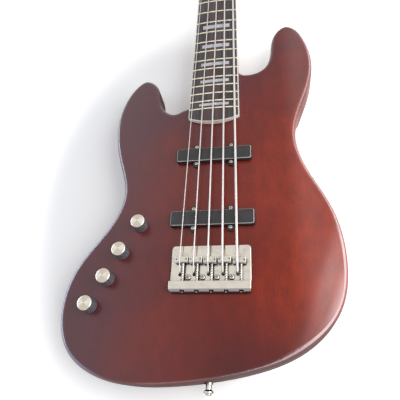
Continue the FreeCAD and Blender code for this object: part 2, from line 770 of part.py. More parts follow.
def pickup_screw_places(index):
    """The four screws of a pickup, on the top of the body."""
    return corners_about(pickup_middle(index), PICKUP_SCREW_SPACING_X, PICKUP_SCREW_SPACING_Y)


def bridge_screw_places():
    """The mounting screws, one between each two strings."""
    places = []
    for index in range(STRING_COUNT - 1):
        x = string_x(index, BRIDGE_STRING_PITCH) + BRIDGE_SCREW_OFFSET_X
        places.append(V(x, BRIDGE_SCREW_Y, PLATE_TOP))
    return places


def neck_screw_places():
    """The four screws that hold the neck, on the back."""
    return corners_about(HEEL_MIDDLE, PLATE_SCREW_SPACING_X, PLATE_SCREW_SPACING_Y)


def pickup_routs():
    """The hollows under the pickups and the holes for their screws."""
    floor = BODY_TOP - PICKUP_ROUT_DEPTH
    cuts = []
    for index, length in enumerate(PICKUP_LENGTHS):
        spare = 2 * PICKUP_ROUT_CLEARANCE
        cuts.append(centred_plate(pickup_middle(index), length + spare, PICKUP_WIDTH + spare,
                                  floor, BODY_TOP + CUT_OVERRUN, PICKUP_CORNER_RADIUS))
        for place in pickup_screw_places(index):
            low = place - V(0, 0, PICKUP_SCREW_LENGTH)
            cuts.append(screw_hole(PICKUP_SCREW_DIAMETER, low, place + V(0, 0, CUT_OVERRUN)))
    return cuts


def control_routs():
    """The control cavity, the seat of its cover and the holes for screws and potentiometers."""
    cuts = [cavity_plate(0, -CUT_OVERRUN, CAVITY_TOP)]
    cuts.append(cavity_plate(COVER_LEDGE + COVER_CLEARANCE, -CUT_OVERRUN, COVER_THICKNESS))
    for place in cover_screw_places():
        tip = place + V(0, 0, COVER_SCREW_LENGTH + SCREW_FIT)
        cuts.append(screw_hole(COVER_SCREW_DIAMETER, place, tip))
    for index in range(KNOB_COUNT):
        place = knob_place(index)
        low = V(place.x, place.y, CAVITY_TOP - CUT_OVERRUN)
        cuts.append(rod(POT_BUSH_DIAMETER + 2 * POT_HOLE_CLEARANCE, low, place + V(0, 0, CUT_OVERRUN)))
    return cuts


def bridge_holes():
    """The holes for the strings, their ferrules and the bridge screws."""
    cuts = []
    for index in range(STRING_COUNT):
        foot = V(string_x(index, BRIDGE_STRING_PITCH), STRING_HOLE_Y, 0)
        cuts.append(rod(STRING_HOLE_DIAMETER, foot, foot + V(0, 0, BODY_TOP + CUT_OVERRUN)))
        cuts.append(rod(FERRULE_DIAMETER, foot - V(0, 0, CUT_OVERRUN), foot + V(0, 0, FERRULE_LENGTH)))
    for place in bridge_screw_places():
        low = place - V(0, 0, BRIDGE_SCREW_LENGTH + SCREW_FIT)
        cuts.append(screw_hole(BRIDGE_SCREW_DIAMETER, low, place + V(0, 0, CUT_OVERRUN)))
    return cuts


def neck_joint_cuts():
    """The neck pocket, the seat of the neck plate and the holes for the neck screws."""
    spare = 2 * HEEL_CLEARANCE
    cuts = [pocket_space()]
    cuts.append(centred_plate(HEEL_MIDDLE, PLATE_WIDTH + spare, PLATE_LENGTH + spare,
                              -CUT_OVERRUN, PLATE_THICKNESS, PLATE_CORNER_RADIUS))
    for place in neck_screw_places():
        cuts.append(screw_hole(NECK_SCREW_DIAMETER, place, place + V(0, 0, BODY_TOP)))
    return cuts


def edge_holes():
    """The hole for the output jack and the seats of the strap buttons."""
    jack = edge_place(lower_place(LOWER_OUTLINE_SHARES[JACK_OUTLINE_POINT]))
    inside = jack + V(JACK_BARREL_LENGTH + CUT_OVERRUN, 0, 0)
    outside = jack - V(JACK_FLANGE_DIAMETER, 0, 0)
    cuts = [rod(JACK_BARREL_DIAMETER + 2 * JACK_CLEARANCE, outside, inside)]
    cuts.append(rod(JACK_FLANGE_DIAMETER + 2 * JACK_CLEARANCE, outside, jack + V(JACK_FLANGE_SINK, 0, 0)))
    depth = BUTTON_SCREW_LENGTH - BUTTON_LENGTH + BUTTON_SCREW_HEAD_HEIGHT + SCREW_FIT
    for seat, way in strap_button_places():
        cuts.append(rod(BUTTON_BASE_DIAMETER + 2 * BUTTON_SEAT_CLEARANCE, seat, seat + way * BUTTON_LENGTH))
        cuts.append(screw_hole(BUTTON_SCREW_DIAMETER, seat - way * depth, seat))
    return cuts


def is_crease(edge):
    """True for the straight line where the forearm contour leaves the flat top."""
    return edge.Curve.TypeId == "Part::GeomLine"


def make_body():
    """The slab with rounded edges, its contours and its routs."""
    slab = smooth_outline(body_outline(), 0, OUTLINE_PARTS).extrude(V(0, 0, BODY_THICKNESS))
    slab = slab.cut(forearm_cut())
    rims = [e for e in slab.Edges if e.BoundBox.ZMax - e.BoundBox.ZMin < FOREARM_DEPTH
            and not is_crease(e) and e.Length > BODY_EDGE_RADIUS]
    slab = slab.makeFillet(BODY_EDGE_RADIUS, rims)
    slab = slab.cut(belly_cut())
    return slab.cut(pickup_routs() + control_routs() + bridge_holes() + neck_joint_cuts() + edge_holes())


# Neck and fingerboard

def smooth_step(value):
    """A soft ramp from 0 to 1."""
    bounded = max(0.0, min(1.0, value))
    return bounded * bounded * (3 - 2 * bounded)


HEAD_BASE_Y = NUT_Y + HEAD_OUTLINE_SHARES[0][1] * HEAD_LENGTH
HEAD_BLEND_Y = NUT_Y - HEAD_BLEND / 2
SHAFT_START_Y = POCKET_MOUTH_Y + HEEL_BLEND


def neck_section(y):
    """The half-round section of the neck at a place, square at the heel and the headstock."""
    to_shaft = smooth_step((y - POCKET_MOUTH_Y) / HEEL_BLEND)
    to_head = smooth_step((y - HEAD_BLEND_Y) / (HEAD_BASE_Y - HEAD_BLEND_Y))
    along = (y - SHAFT_START_Y) / (NUT_Y - SHAFT_START_Y)
    shaft = NECK_DEPTH_AT_HEEL + (NECK_DEPTH_AT_NUT - NECK_DEPTH_AT_HEEL) * max(0.0, min(1.0, along))
    depth = HEEL_DEPTH + (shaft - HEEL_DEPTH) * to_shaft
    depth += (HEAD_DROP + HEAD_THICKNESS - depth) * to_head
    square = HEEL_SQUARENESS + (SHAFT_SQUARENESS - HEEL_SQUARENESS) * to_shaft
    square += (HEEL_SQUARENESS - square) * to_head
    flare = max(0.0, (y - HEAD_START_Y) / (HEAD_BASE_Y - HEAD_START_Y))
    nut_half = half_width(min(y, NUT_Y))
    half = nut_half + (HEAD_OUTLINE_SHARES[0][0] * HEAD_WIDTH - nut_half) * flare ** 2
    points = []
    for step in range(SECTION_POINTS):
        turn = math.pi * step / (SECTION_POINTS - 1)
        across = abs(math.cos(turn)) ** (2 / square) * (1 if turn < math.pi / 2 else -1)
        points.append(V(half * across, y, BODY_TOP - depth * abs(math.sin(turn)) ** (2 / square)))
    points[0] = V(half, y, BODY_TOP)
    points[-1] = V(-half, y, BODY_TOP)
    curve = Part.BSplineCurve()
    curve.interpolate(Points=points)
    return Part.Wire([curve.toShape(), Part.LineSegment(points[-1], points[0]).toShape()])


def stations(start, end, count):
    """Evenly spaced places, without the last."""
    return [start + (end - start) * step / count for step in range(count)]


def make_headstock():
    """The flat headstock with rounded edges."""
    points = [V(x * HEAD_WIDTH, NUT_Y + y * HEAD_LENGTH, HEAD_BACK) for x, y in HEAD_OUTLINE_SHARES]
    curve = Part.BSplineCurve()
    curve.interpolate(Points=points)
    base = Part.LineSegment(points[-1], points[0]).toShape()
    head = Part.Face(Part.Wire([curve.toShape(), base])).extrude(V(0, 0, HEAD_THICKNESS))
    slack = HEAD_EDGE_RADIUS / 2
    rims = edges_at_height(head, HEAD_FACE, slack) + edges_at_height(head, HEAD_BACK, slack)
    return head.makeFillet(HEAD_EDGE_RADIUS, [e for e in rims if e.Curve.TypeId != "Part::GeomLine"])


def rod_channel():
    """The channel for the truss rod, round at its floor."""
    y0 = POCKET_END_Y + ROD_END_MARGIN - ROD_CHANNEL_CLEARANCE
    width = ROD_DIAMETER + 2 * ROD_CHANNEL_CLEARANCE
    slot = block(-width / 2, width / 2, y0, HEAD_BASE_Y, rod_height(), BODY_TOP + CUT_OVERRUN)
    return slot.fuse(rod(width, V(0, y0, rod_height()), V(0, HEAD_BASE_Y, rod_height())))


def rod_height():
    """The height of the truss rod's middle line."""
    return BODY_TOP - ROD_CHANNEL_DEPTH + ROD_DIAMETER / 2


def post_place(index):
    """The axis of a tuning post on the back of the headstock."""
    x, y = POST_PLACE_SHARES[index]
    return V(x * HEAD_WIDTH, NUT_Y + y * HEAD_LENGTH, HEAD_BACK)


def machine_screw_places():
    """The screws of one tuning machine, in its own frame."""
    places = []
    for x in (MACHINE_SCREW_INSET - MACHINE_PLATE_INNER, MACHINE_PLATE_OUTER - MACHINE_SCREW_INSET):
        for y in (MACHINE_SCREW_INSET - MACHINE_PLATE_BACK, MACHINE_PLATE_FRONT - MACHINE_SCREW_INSET):
            places.append(V(x, y, -MACHINE_PLATE_THICKNESS))
    return places


def on_headstock(shape, index):
    """A copy of a tuning machine piece at its place, its key pointing outwards."""
    copy = shape.copy()
    if post_place(index).x < 0:
        copy.rotate(V(0, 0, 0), V(0, 0, 1), 180)
    copy.translate(post_place(index))
    return copy


def retainer_screw_places():
    """The two screws of the string retainer, on the face of the headstock."""
    return [V(side * RETAINER_SCREW_SPACING / 2, NUT_Y + RETAINER_Y, HEAD_FACE) for side in (-1, 1)]


def make_neck():
    """Heel, shaft and headstock in one piece, with its channel and holes."""
    heel_points = []
    for y, side in ((POCKET_END_Y, -1), (POCKET_END_Y, 1), (POCKET_MOUTH_Y, 1), (POCKET_MOUTH_Y, -1)):
        heel_points.append((side * half_width(y), y))
    heel = prism(heel_points, BODY_TOP - HEEL_DEPTH, BODY_TOP)
    places = stations(POCKET_MOUTH_Y, SHAFT_START_Y, BLEND_SECTIONS)
    places += stations(SHAFT_START_Y, HEAD_BLEND_Y, SHAFT_SECTIONS)
    places += stations(HEAD_BLEND_Y, HEAD_BASE_Y, BLEND_SECTIONS * 2) + [HEAD_BASE_Y]
    shaft = Part.makeLoft([neck_section(y) for y in places], True, True)
    run = HEAD_BASE_Y - HEAD_START_Y
    ramp = (run ** 2 + HEAD_DROP ** 2) / (2 * HEAD_DROP)
    axis = V(-HEAD_WIDTH, HEAD_BASE_Y, HEAD_FACE + ramp)
    shaft = shaft.cut(rod(2 * ramp, axis, axis + V(2 * HEAD_WIDTH, 0, 0)))
    neck = heel.fuse([shaft, make_headstock()]).removeSplitter()
    cuts = [rod_channel()]
    for place in neck_screw_places():
        foot = V(place.x, place.y, BODY_TOP - HEEL_DEPTH)
        cuts.append(screw_hole(NECK_SCREW_DIAMETER, place, foot + V(0, 0, NECK_SCREW_BITE + SCREW_FIT)))
    for index in range(STRING_COUNT):
        low = post_place(index) - V(0, 0, CUT_OVERRUN)
        high = post_place(index) + V(0, 0, HEAD_THICKNESS + CUT_OVERRUN)
        cuts.append(rod(BUSHING_SLEEVE_DIAMETER, low, high))
        for screw in machine_screw_places():
            top = V(screw.x, screw.y, MACHINE_SCREW_LENGTH - MACHINE_PLATE_THICKNESS + SCREW_FIT)
            cuts.append(on_headstock(screw_hole(MACHINE_SCREW_DIAMETER, screw, top), index))
    for place in retainer_screw_places():
        low = place - V(0, 0, RETAINER_SCREW_BITE + SCREW_FIT)
        cuts.append(screw_hole(RETAINER_SCREW_DIAMETER, low, place + V(0, 0, CUT_OVERRUN)))
    return neck.cut(cuts)


def board_blank(inset):
    """The fingerboard outline with its curved end and curved top, drawn in by an inset."""
    corner = half_width(BOARD_CORNER_Y)
    end_radius = (corner ** 2 + BOARD_END_SAG ** 2) / (2 * BOARD_END_SAG)
    centre_y = BOARD_CORNER_Y - BOARD_END_SAG + end_radius
    radius = end_radius - inset
    side = corner - inset
    corner_y = centre_y - math.sqrt(radius ** 2 - side ** 2)
    nut_side = half_width(NUT_Y) - inset
    left, right = V(-side, corner_y, BODY_TOP), V(side, corner_y, BODY_TOP)
    end = Part.Arc(left, V(0, centre_y - radius, BODY_TOP), right).toShape()
    top_right, top_left = V(nut_side, NUT_Y, BODY_TOP), V(-nut_side, NUT_Y, BODY_TOP)
    round_corners = (right, top_right, top_left, left)
    sides = [Part.LineSegment(a, b).toShape() for a, b in zip(round_corners, round_corners[1:])]
    slab = Part.Face(Part.Wire([end] + sides)).extrude(V(0, 0, BOARD_THICKNESS))
    return slab.common(crown_bar(0))


def crown_bar(rise):
    """A long round bar whose surface is the playing surface, raised by a given height."""
    axis = V(0, 0, BOARD_TOP - BOARD_RADIUS)
    return rod(2 * (BOARD_RADIUS + rise), axis, axis + V(0, NUT_Y + HEAD_LENGTH, 0))


def inlay_places():
    """The fret space of each position mark: its middle and its length."""
    places = []
    for number in INLAY_FRETS:
        low, high = fret_y(number), fret_y(number - 1)
        places.append(((low + high) / 2, (high - low) * INLAY_LENGTH_SHARE))
    return places


def inlay_blocks():
    """Boxes that mark out the inlays at the top of the fingerboard."""
    half = INLAY_WIDTH / 2
    floor = BOARD_TOP - board_sag(half) - INLAY_DEPTH
    top = BOARD_TOP + CUT_OVERRUN
    return [block(-half, half, y - size / 2, y + size / 2, floor, top) for y, size in inlay_places()]


def swept_round_board(face, half):
    """A face in the middle plane swept along the curve of the playing surface to both sides."""
    axis = V(0, 0, BOARD_TOP - BOARD_RADIUS)
    angle = math.degrees(math.asin(half / BOARD_RADIUS))
    start = face.copy()
    start.rotate(axis, V(0, 1, 0), -angle)
    return start.revolve(axis, V(0, 1, 0), 2 * angle)


def fret_tang(number):
    """The tongue of a fret that sits in its slot."""
    y = fret_y(number)
    low, high = BOARD_TOP - TANG_DEPTH, BOARD_TOP
    corners = [V(0, y - TANG_WIDTH / 2, low), V(0, y + TANG_WIDTH / 2, low)]
    corners += [V(0, y + TANG_WIDTH / 2, high), V(0, y - TANG_WIDTH / 2, high)]
    face = Part.Face(Part.makePolygon(corners + corners[:1]))
    return swept_round_board(face, half_width(y) - BINDING_WIDTH - FRET_END_INSET)


def make_fret(number):
    """A fret: a rounded crown across the board with its tongue."""
    y = fret_y(number)
    left, right = V(0, y - FRET_WIDTH / 2, BOARD_TOP), V(0, y + FRET_WIDTH / 2, BOARD_TOP)
    crown = Part.Arc(left, V(0, y, BOARD_TOP + FRET_HEIGHT), right).toShape()
    face = Part.Face(Part.Wire([crown, Part.LineSegment(right, left).toShape()]))
    return swept_round_board(face, half_width(y) - FRET_END_INSET).fuse(fret_tang(number))


def make_nut(strings):
    """The string nut with a slot for each string."""
    half = half_width(NUT_Y)
    rise = FRET_HEIGHT + ACTION_AT_FIRST_FRET + NUT_RISE
    blank = block(-half, half, NUT_Y, NUT_Y + NUT_LENGTH, BODY_TOP, BOARD_TOP + rise)
    blank = blank.common(crown_bar(rise))
    cuts = []
    for index, edges in enumerate(strings):
        wide = STRING_DIAMETERS[index] / 2 + STRING_SEAT_CLEARANCE
        cuts.append(tube(edges["free"], 2 * wide))
        at = edges["nut"]
        cuts.append(block(at.x - wide, at.x + wide, NUT_Y - CUT_OVERRUN, NUT_Y + NUT_LENGTH + CUT_OVERRUN,
                          at.z, BOARD_TOP + rise + CUT_OVERRUN))
    return blank.cut(cuts)


def make_truss_rod():
    """The steel rod, as far as its nut."""
    return rod(ROD_DIAMETER, V(0, POCKET_END_Y + ROD_END_MARGIN, rod_height()), V(0, NUT_Y, rod_height()))


def make_truss_rod_nut():
    """The adjusting nut with a hexagon socket towards the headstock."""
    nut = rod(ROD_DIAMETER, V(0, NUT_Y, rod_height()), V(0, NUT_Y + ROD_NUT_LENGTH, rod_height()))
    socket = hexagon(ROD_NUT_SOCKET, V(0, 0, 0), ROD_NUT_SOCKET_DEPTH + CUT_OVERRUN)
    socket.rotate(V(0, 0, 0), V(1, 0, 0), -90)
    return nut.cut(moved(socket, V(0, NUT_Y + ROD_NUT_LENGTH - ROD_NUT_SOCKET_DEPTH, rod_height())))


# Strings

def saddle_y(index):
    """The front of a saddle, as set for its string."""
    return SADDLE_FRONT_Y - SADDLE_SETBACKS[index]


def string_rise(index, pitch, rise):
    """The middle of a string where its underside stands a given rise over the board."""
    x = string_x(index, pitch)
    return V(x, 0, BOARD_TOP + rise - board_sag(x) + STRING_DIAMETERS[index] / 2)


def string_route(index):
    """The middle line of a string: from its ball to the post, then round the post and into its slot."""
    size = STRING_DIAMETERS[index]
    nut_rise = FRET_HEIGHT + ACTION_AT_FIRST_FRET
    saddle_rise = 2 * (FRET_HEIGHT + ACTION_AT_OCTAVE) - nut_rise
    foot_x = string_x(index, BRIDGE_STRING_PITCH)
    ball = V(foot_x, STRING_HOLE_Y, FERRULE_CUP_DEPTH - BALL_LENGTH)
    turn = V(foot_x, STRING_HOLE_Y, PLATE_TOP + HOLE_BEND_RADIUS * HOLE_BEND_RISE_SHARE)
    crest = string_rise(index, BRIDGE_STRING_PITCH, saddle_rise)
    crest.y = saddle_y(index) - SADDLE_LENGTH + SADDLE_BREAK_INSET
    nut = string_rise(index, NUT_STRING_PITCH, nut_rise)
    nut.y = NUT_Y + NUT_LENGTH / 2
    post = post_place(index)
    sense = -1 if post.x > 0 else 1
    radius = POST_DIAMETER / 2 + WINDING_SEAT_GAP + size / 2
    span = V(post.x - nut.x, post.y - nut.y, 0)
    heading = math.atan2(span.y, span.x) - sense * math.asin(radius / span.Length)
    way = V(math.cos(heading), math.sin(heading), 0)
    level = RETAINER_FLOOR - STRING_SEAT_CLEARANCE - size / 2
    touch = V(nut.x, nut.y, level) + way * math.sqrt(span.Length ** 2 - radius ** 2)
    under = V(nut.x, nut.y, level) + way * ((NUT_Y + RETAINER_Y - RETAINER_WIDTH / 2 - nut.y) / way.y)
    free = rounded_runs([ball, turn, crest, nut, under, touch],
                        [HOLE_BEND_RADIUS, SADDLE_BEND_RADIUS, NUT_BEND_RADIUS, NUT_BEND_RADIUS])
    pitch = size + WINDING_GAP
    start = sense * math.atan2(touch.y - post.y, touch.x - post.x)
    centre = V(post.x, post.y, level)
    winding = helix_edges(centre, radius, pitch, start, WINDING_TURNS, sense, way)
    base = centre - V(0, 0, pitch * start / (2 * math.pi))
    leave, leave_way = helix_point(base, radius, pitch, start + 2 * math.pi * WINDING_TURNS, sense)
    corner = leave + leave_way * SLOT_RUN
    inside = V(post.x, post.y, corner.z)
    tail = rounded_runs([leave, corner, inside], [SLOT_BEND_SHARE * size])
    return {"free": free, "winding": winding, "all": free + winding + tail, "nut": nut, "crest": crest,
            "slot": corner, "ball": ball}


def make_string(index, route):
    """One string with its ball, as a single unbroken tube."""
    size = STRING_DIAMETERS[index]
    wire = tube(route["all"], size)
    gap = least_gap(route["winding"], size, GAP_SPACING)
    expected = math.pi * size ** 2 / 4 * Part.Wire(route["all"]).Length
    share = wire.Volume / expected
    print("string", STRING_NAMES[index], "least gap", round(gap, 3), "volume share", round(share, 4))
    foot = route["ball"]
    ball = rod(BALL_DIAMETER, foot, foot + V(0, 0, BALL_LENGTH - STRING_SEAT_CLEARANCE))
    return wire.fuse(ball)


def make_ferrule(index):
    """A cup in the back that holds the ball of a string."""
    foot = V(string_x(index, BRIDGE_STRING_PITCH), STRING_HOLE_Y, 0)
    shell = rod(FERRULE_DIAMETER, foot, foot + V(0, 0, FERRULE_LENGTH))
    cup = rod(FERRULE_CUP_DIAMETER, foot, foot + V(0, 0, FERRULE_CUP_DEPTH))
    return shell.cut([cup, rod(STRING_HOLE_DIAMETER, foot, foot + V(0, 0, FERRULE_LENGTH))])


# Bridge

def tone_screw_x(index):
    """Where an intonation screw runs beside its string."""
    return string_x(index, BRIDGE_STRING_PITCH) + TONE_SCREW_OFFSET_X


def make_bridge_plate():
    """A flat plate with a tall bar at its rear, whose rear face leans towards the saddles."""
    x0, x1 = HARDWARE_OFFSET_X - BRIDGE_WIDTH / 2, HARDWARE_OFFSET_X + BRIDGE_WIDTH / 2
    wall_top = BODY_TOP + BRIDGE_WALL_HEIGHT
    plate = rounded_plate(x0, x1, BRIDGE_REAR_Y, BRIDGE_FRONT_Y, BODY_TOP, wall_top, BRIDGE_CORNER_RADIUS)
    plate = plate.cut(block(x0 - CUT_OVERRUN, x1 + CUT_OVERRUN, WALL_FRONT_Y, BRIDGE_FRONT_Y + CUT_OVERRUN,
                            PLATE_TOP, wall_top + CUT_OVERRUN))
    slack = BRIDGE_EDGE_RADIUS / 2
    rims = edges_at_height(plate, wall_top, slack)
    rims += [e for e in edges_at_height(plate, PLATE_TOP, slack) if e.BoundBox.YMax > WALL_FRONT_Y + slack]
    plate = plate.makeFillet(BRIDGE_EDGE_RADIUS, rims)
    rear, lean = BRIDGE_REAR_Y - CUT_OVERRUN, BRIDGE_REAR_Y + BRIDGE_WALL_LEAN
    slope = (wall_top - PLATE_TOP) / BRIDGE_WALL_LEAN
    over = wall_top + CUT_OVERRUN
    foot, crown = V(0, rear, PLATE_TOP - CUT_OVERRUN * slope), V(0, lean + CUT_OVERRUN / slope, over)
    corners = [foot, crown, V(0, rear, over)]
    wedge = Part.Face(Part.makePolygon(corners + corners[:1])).extrude(V(x1 - x0 + 2 * CUT_OVERRUN, 0, 0))
    cuts = [moved(wedge, V(x0 - CUT_OVERRUN, 0, 0))]
    for index in range(STRING_COUNT):
        foot = V(string_x(index, BRIDGE_STRING_PITCH), STRING_HOLE_Y, BODY_TOP)
        cuts.append(rod(STRING_HOLE_DIAMETER, foot, foot + V(0, 0, BRIDGE_PLATE_THICKNESS)))
        seat = V(tone_screw_x(index), TONE_SCREW_SEAT_Y, TONE_SCREW_Z)
        cuts.append(bearing_bore(TONE_SCREW_DIAMETER, seat, V(seat.x, WALL_FRONT_Y, seat.z)))
        sink = TONE_SCREW_RECESS + CUT_OVERRUN
        cuts.append(rod(TONE_SCREW_HEAD_DIAMETER + 2 * TONE_SCREW_HEAD_ROOM, seat - V(0, sink, 0), seat))
    for place in bridge_screw_places():
        cuts.append(screw_hole(BRIDGE_SCREW_DIAMETER, place - V(0, 0, BRIDGE_PLATE_THICKNESS), place))
    return plate.cut(cuts)


def make_saddle(index, route):
    """A saddle block with a groove for its string, and its two height screws."""
    crest = route["crest"]
    middle = crest.x + SADDLE_OFFSET_X
    left, right = middle - SADDLE_WIDTH / 2, middle + SADDLE_WIDTH / 2
    front = saddle_y(index)
    back = front - SADDLE_LENGTH
    low = PLATE_TOP + SADDLE_FLOOR_GAP
    high = crest.z - STRING_DIAMETERS[index] / 2 + SADDLE_LIP
    saddle = block(left, right, back, front, low, high)
    saddle = saddle.makeFillet(SADDLE_EDGE_RADIUS, edges_at_height(saddle, high, SADDLE_EDGE_RADIUS / 2))
    groove = STRING_DIAMETERS[index] / 2 + STRING_SEAT_CLEARANCE
    cuts = [tube(route["free"], 2 * groove)]
    cuts.append(block(crest.x - groove, crest.x + groove, back - CUT_OVERRUN, front + CUT_OVERRUN,
                      crest.z, high + CUT_OVERRUN))
    rear = V(tone_screw_x(index), back, TONE_SCREW_Z)
    cuts.append(bearing_bore(TONE_SCREW_DIAMETER, rear, rear + V(0, SADDLE_LENGTH, 0)))
    screws = []
    for side in (-1, 1):
        foot = V(middle + side * HEIGHT_SCREW_OFFSET_X, front - SADDLE_LENGTH / 2, PLATE_TOP)
        top = V(foot.x, foot.y, high - HEIGHT_SCREW_SINK)
        cuts.append(screw_hole(HEIGHT_SCREW_DIAMETER, foot, top + V(0, 0, CUT_OVERRUN)))
        floor = V(top.x, top.y, top.z - HEIGHT_SCREW_SOCKET_DEPTH)
        socket = hexagon(HEIGHT_SCREW_SOCKET, floor, HEIGHT_SCREW_SOCKET_DEPTH + CUT_OVERRUN)
        screws.append(rod(HEIGHT_SCREW_DIAMETER, foot, top).cut(socket))
    return [saddle.cut(cuts)] + screws


def make_tone_screw(index):
    """An intonation screw, its head sunk in the bar of the bridge."""
    tip = TONE_SCREW_TIP_Y - TONE_SCREW_SEAT_Y
    screw = pan_screw(TONE_SCREW_DIAMETER, tip, TONE_SCREW_HEAD_DIAMETER, TONE_SCREW_HEAD_HEIGHT)
    screw.rotate(V(0, 0, 0), V(1, 0, 0), 90)
    return moved(screw, V(tone_screw_x(index), TONE_SCREW_SEAT_Y, TONE_SCREW_Z))


def make_spring(index):
    """The spring on an intonation screw, from the bar to the saddle."""
    margin = SPRING_END_GAP + SPRING_WIRE_DIAMETER / 2
    length = saddle_y(index) - SADDLE_LENGTH - WALL_FRONT_Y - 2 * margin
    pitch = length / SPRING_TURNS
    edges = helix_edges(V(0, 0, 0), SPRING_COIL_DIAMETER / 2, pitch, 0, SPRING_TURNS, 1, None)
    spring = tube(edges, SPRING_WIRE_DIAMETER)
    expected = math.pi * SPRING_WIRE_DIAMETER ** 2 / 4 * Part.Wire(edges).Length
    gap = least_gap(edges, SPRING_WIRE_DIAMETER, GAP_SPACING)
    share = spring.Volume / expected
    print("spring", STRING_NAMES[index], "least gap", round(gap, 3), "volume share", round(share, 4))
    spring.rotate(V(0, 0, 0), V(1, 0, 0), -90)
    return moved(spring, V(tone_screw_x(index), WALL_FRONT_Y + margin, TONE_SCREW_Z))


# Pickups

def make_pickup_cover(index):
    """A thin-walled cover, open below, with four screw ears that stand just over the body."""
    middle = pickup_middle(index)
    length, width = PICKUP_LENGTHS[index], PICKUP_WIDTH
    top = BODY_TOP + PICKUP_RISE
    low = top - PICKUP_COVER_HEIGHT
    shell = centred_plate(middle, length, width, low, top, PICKUP_CORNER_RADIUS)
    shell = shell.makeFillet(PICKUP_EDGE_RADIUS, edges_at_height(shell, top, PICKUP_EDGE_RADIUS / 2))
    ears, holes = [], []
    for place in pickup_screw_places(index):
        foot = place + V(0, 0, PICKUP_EAR_GAP)
        head = foot + V(0, 0, PICKUP_EAR_THICKNESS)
        ears.append(rod(PICKUP_EAR_DIAMETER, foot, head))
        holes.append(screw_hole(PICKUP_SCREW_DIAMETER, foot, head))
    walls = 2 * PICKUP_WALL
    hollow = centred_plate(middle, length - walls, width - walls, low - CUT_OVERRUN, top - PICKUP_WALL,
                           PICKUP_CORNER_RADIUS - PICKUP_WALL / 2)
    return shell.fuse(ears).cut(holes + [hollow])


def pickup_coil_top():
    """The top of the coil under the cover."""
    return BODY_TOP + PICKUP_RISE - PICKUP_WALL - COIL_GAP


def make_pickup_coil(index):
    """The coil, its flatwork and the bar magnet in its window."""
    middle = pickup_middle(index)
    spare = 2 * (PICKUP_WALL + COIL_GAP)
    length, width = PICKUP_LENGTHS[index] - spare, PICKUP_WIDTH - spare
    high = pickup_coil_top()
    low = high - COIL_HEIGHT
    half, wide = (length - width + COIL_WINDOW_WIDTH) / 2, COIL_WINDOW_WIDTH / 2
    window = block(middle.x - half, middle.x + half, middle.y - wide, middle.y + wide, low, high)
    coil = centred_plate(middle, length, width, low, high, PICKUP_CORNER_RADIUS).cut(window)
    flat = centred_plate(middle, length, width, low - FLATWORK_THICKNESS, low, PICKUP_CORNER_RADIUS)
    end, side = half - COIL_GAP, wide - COIL_GAP
    magnet = block(middle.x - end, middle.x + end, middle.y - side, middle.y + side,
                   low, high - MAGNET_HEIGHT_SPARE)
    return [coil, flat, magnet]


def make_foam_pad(index):
    """The foam that presses a pickup up against its screws."""
    middle = pickup_middle(index)
    half = PICKUP_LENGTHS[index] / 2 - PICKUP_WIDTH / 2
    wide = PICKUP_WIDTH / 2 - 2 * PICKUP_WALL
    high = pickup_coil_top() - COIL_HEIGHT - FLATWORK_THICKNESS
    low = BODY_TOP - PICKUP_ROUT_DEPTH
    return block(middle.x - half, middle.x + half, middle.y - wide, middle.y + wide, low, high)


def make_pickup_screws():
    """The screws in the ears of both pickups."""
    lift = V(0, 0, PICKUP_EAR_GAP + PICKUP_EAR_THICKNESS)
    length = PICKUP_SCREW_LENGTH + lift.z - SCREW_FIT
    screw = pan_screw(PICKUP_SCREW_DIAMETER, length, PICKUP_SCREW_HEAD_DIAMETER, PICKUP_SCREW_HEAD_HEIGHT)
    places = pickup_screw_places(0) + pickup_screw_places(1)
    return [moved(screw, place + lift) for place in places]


# Controls

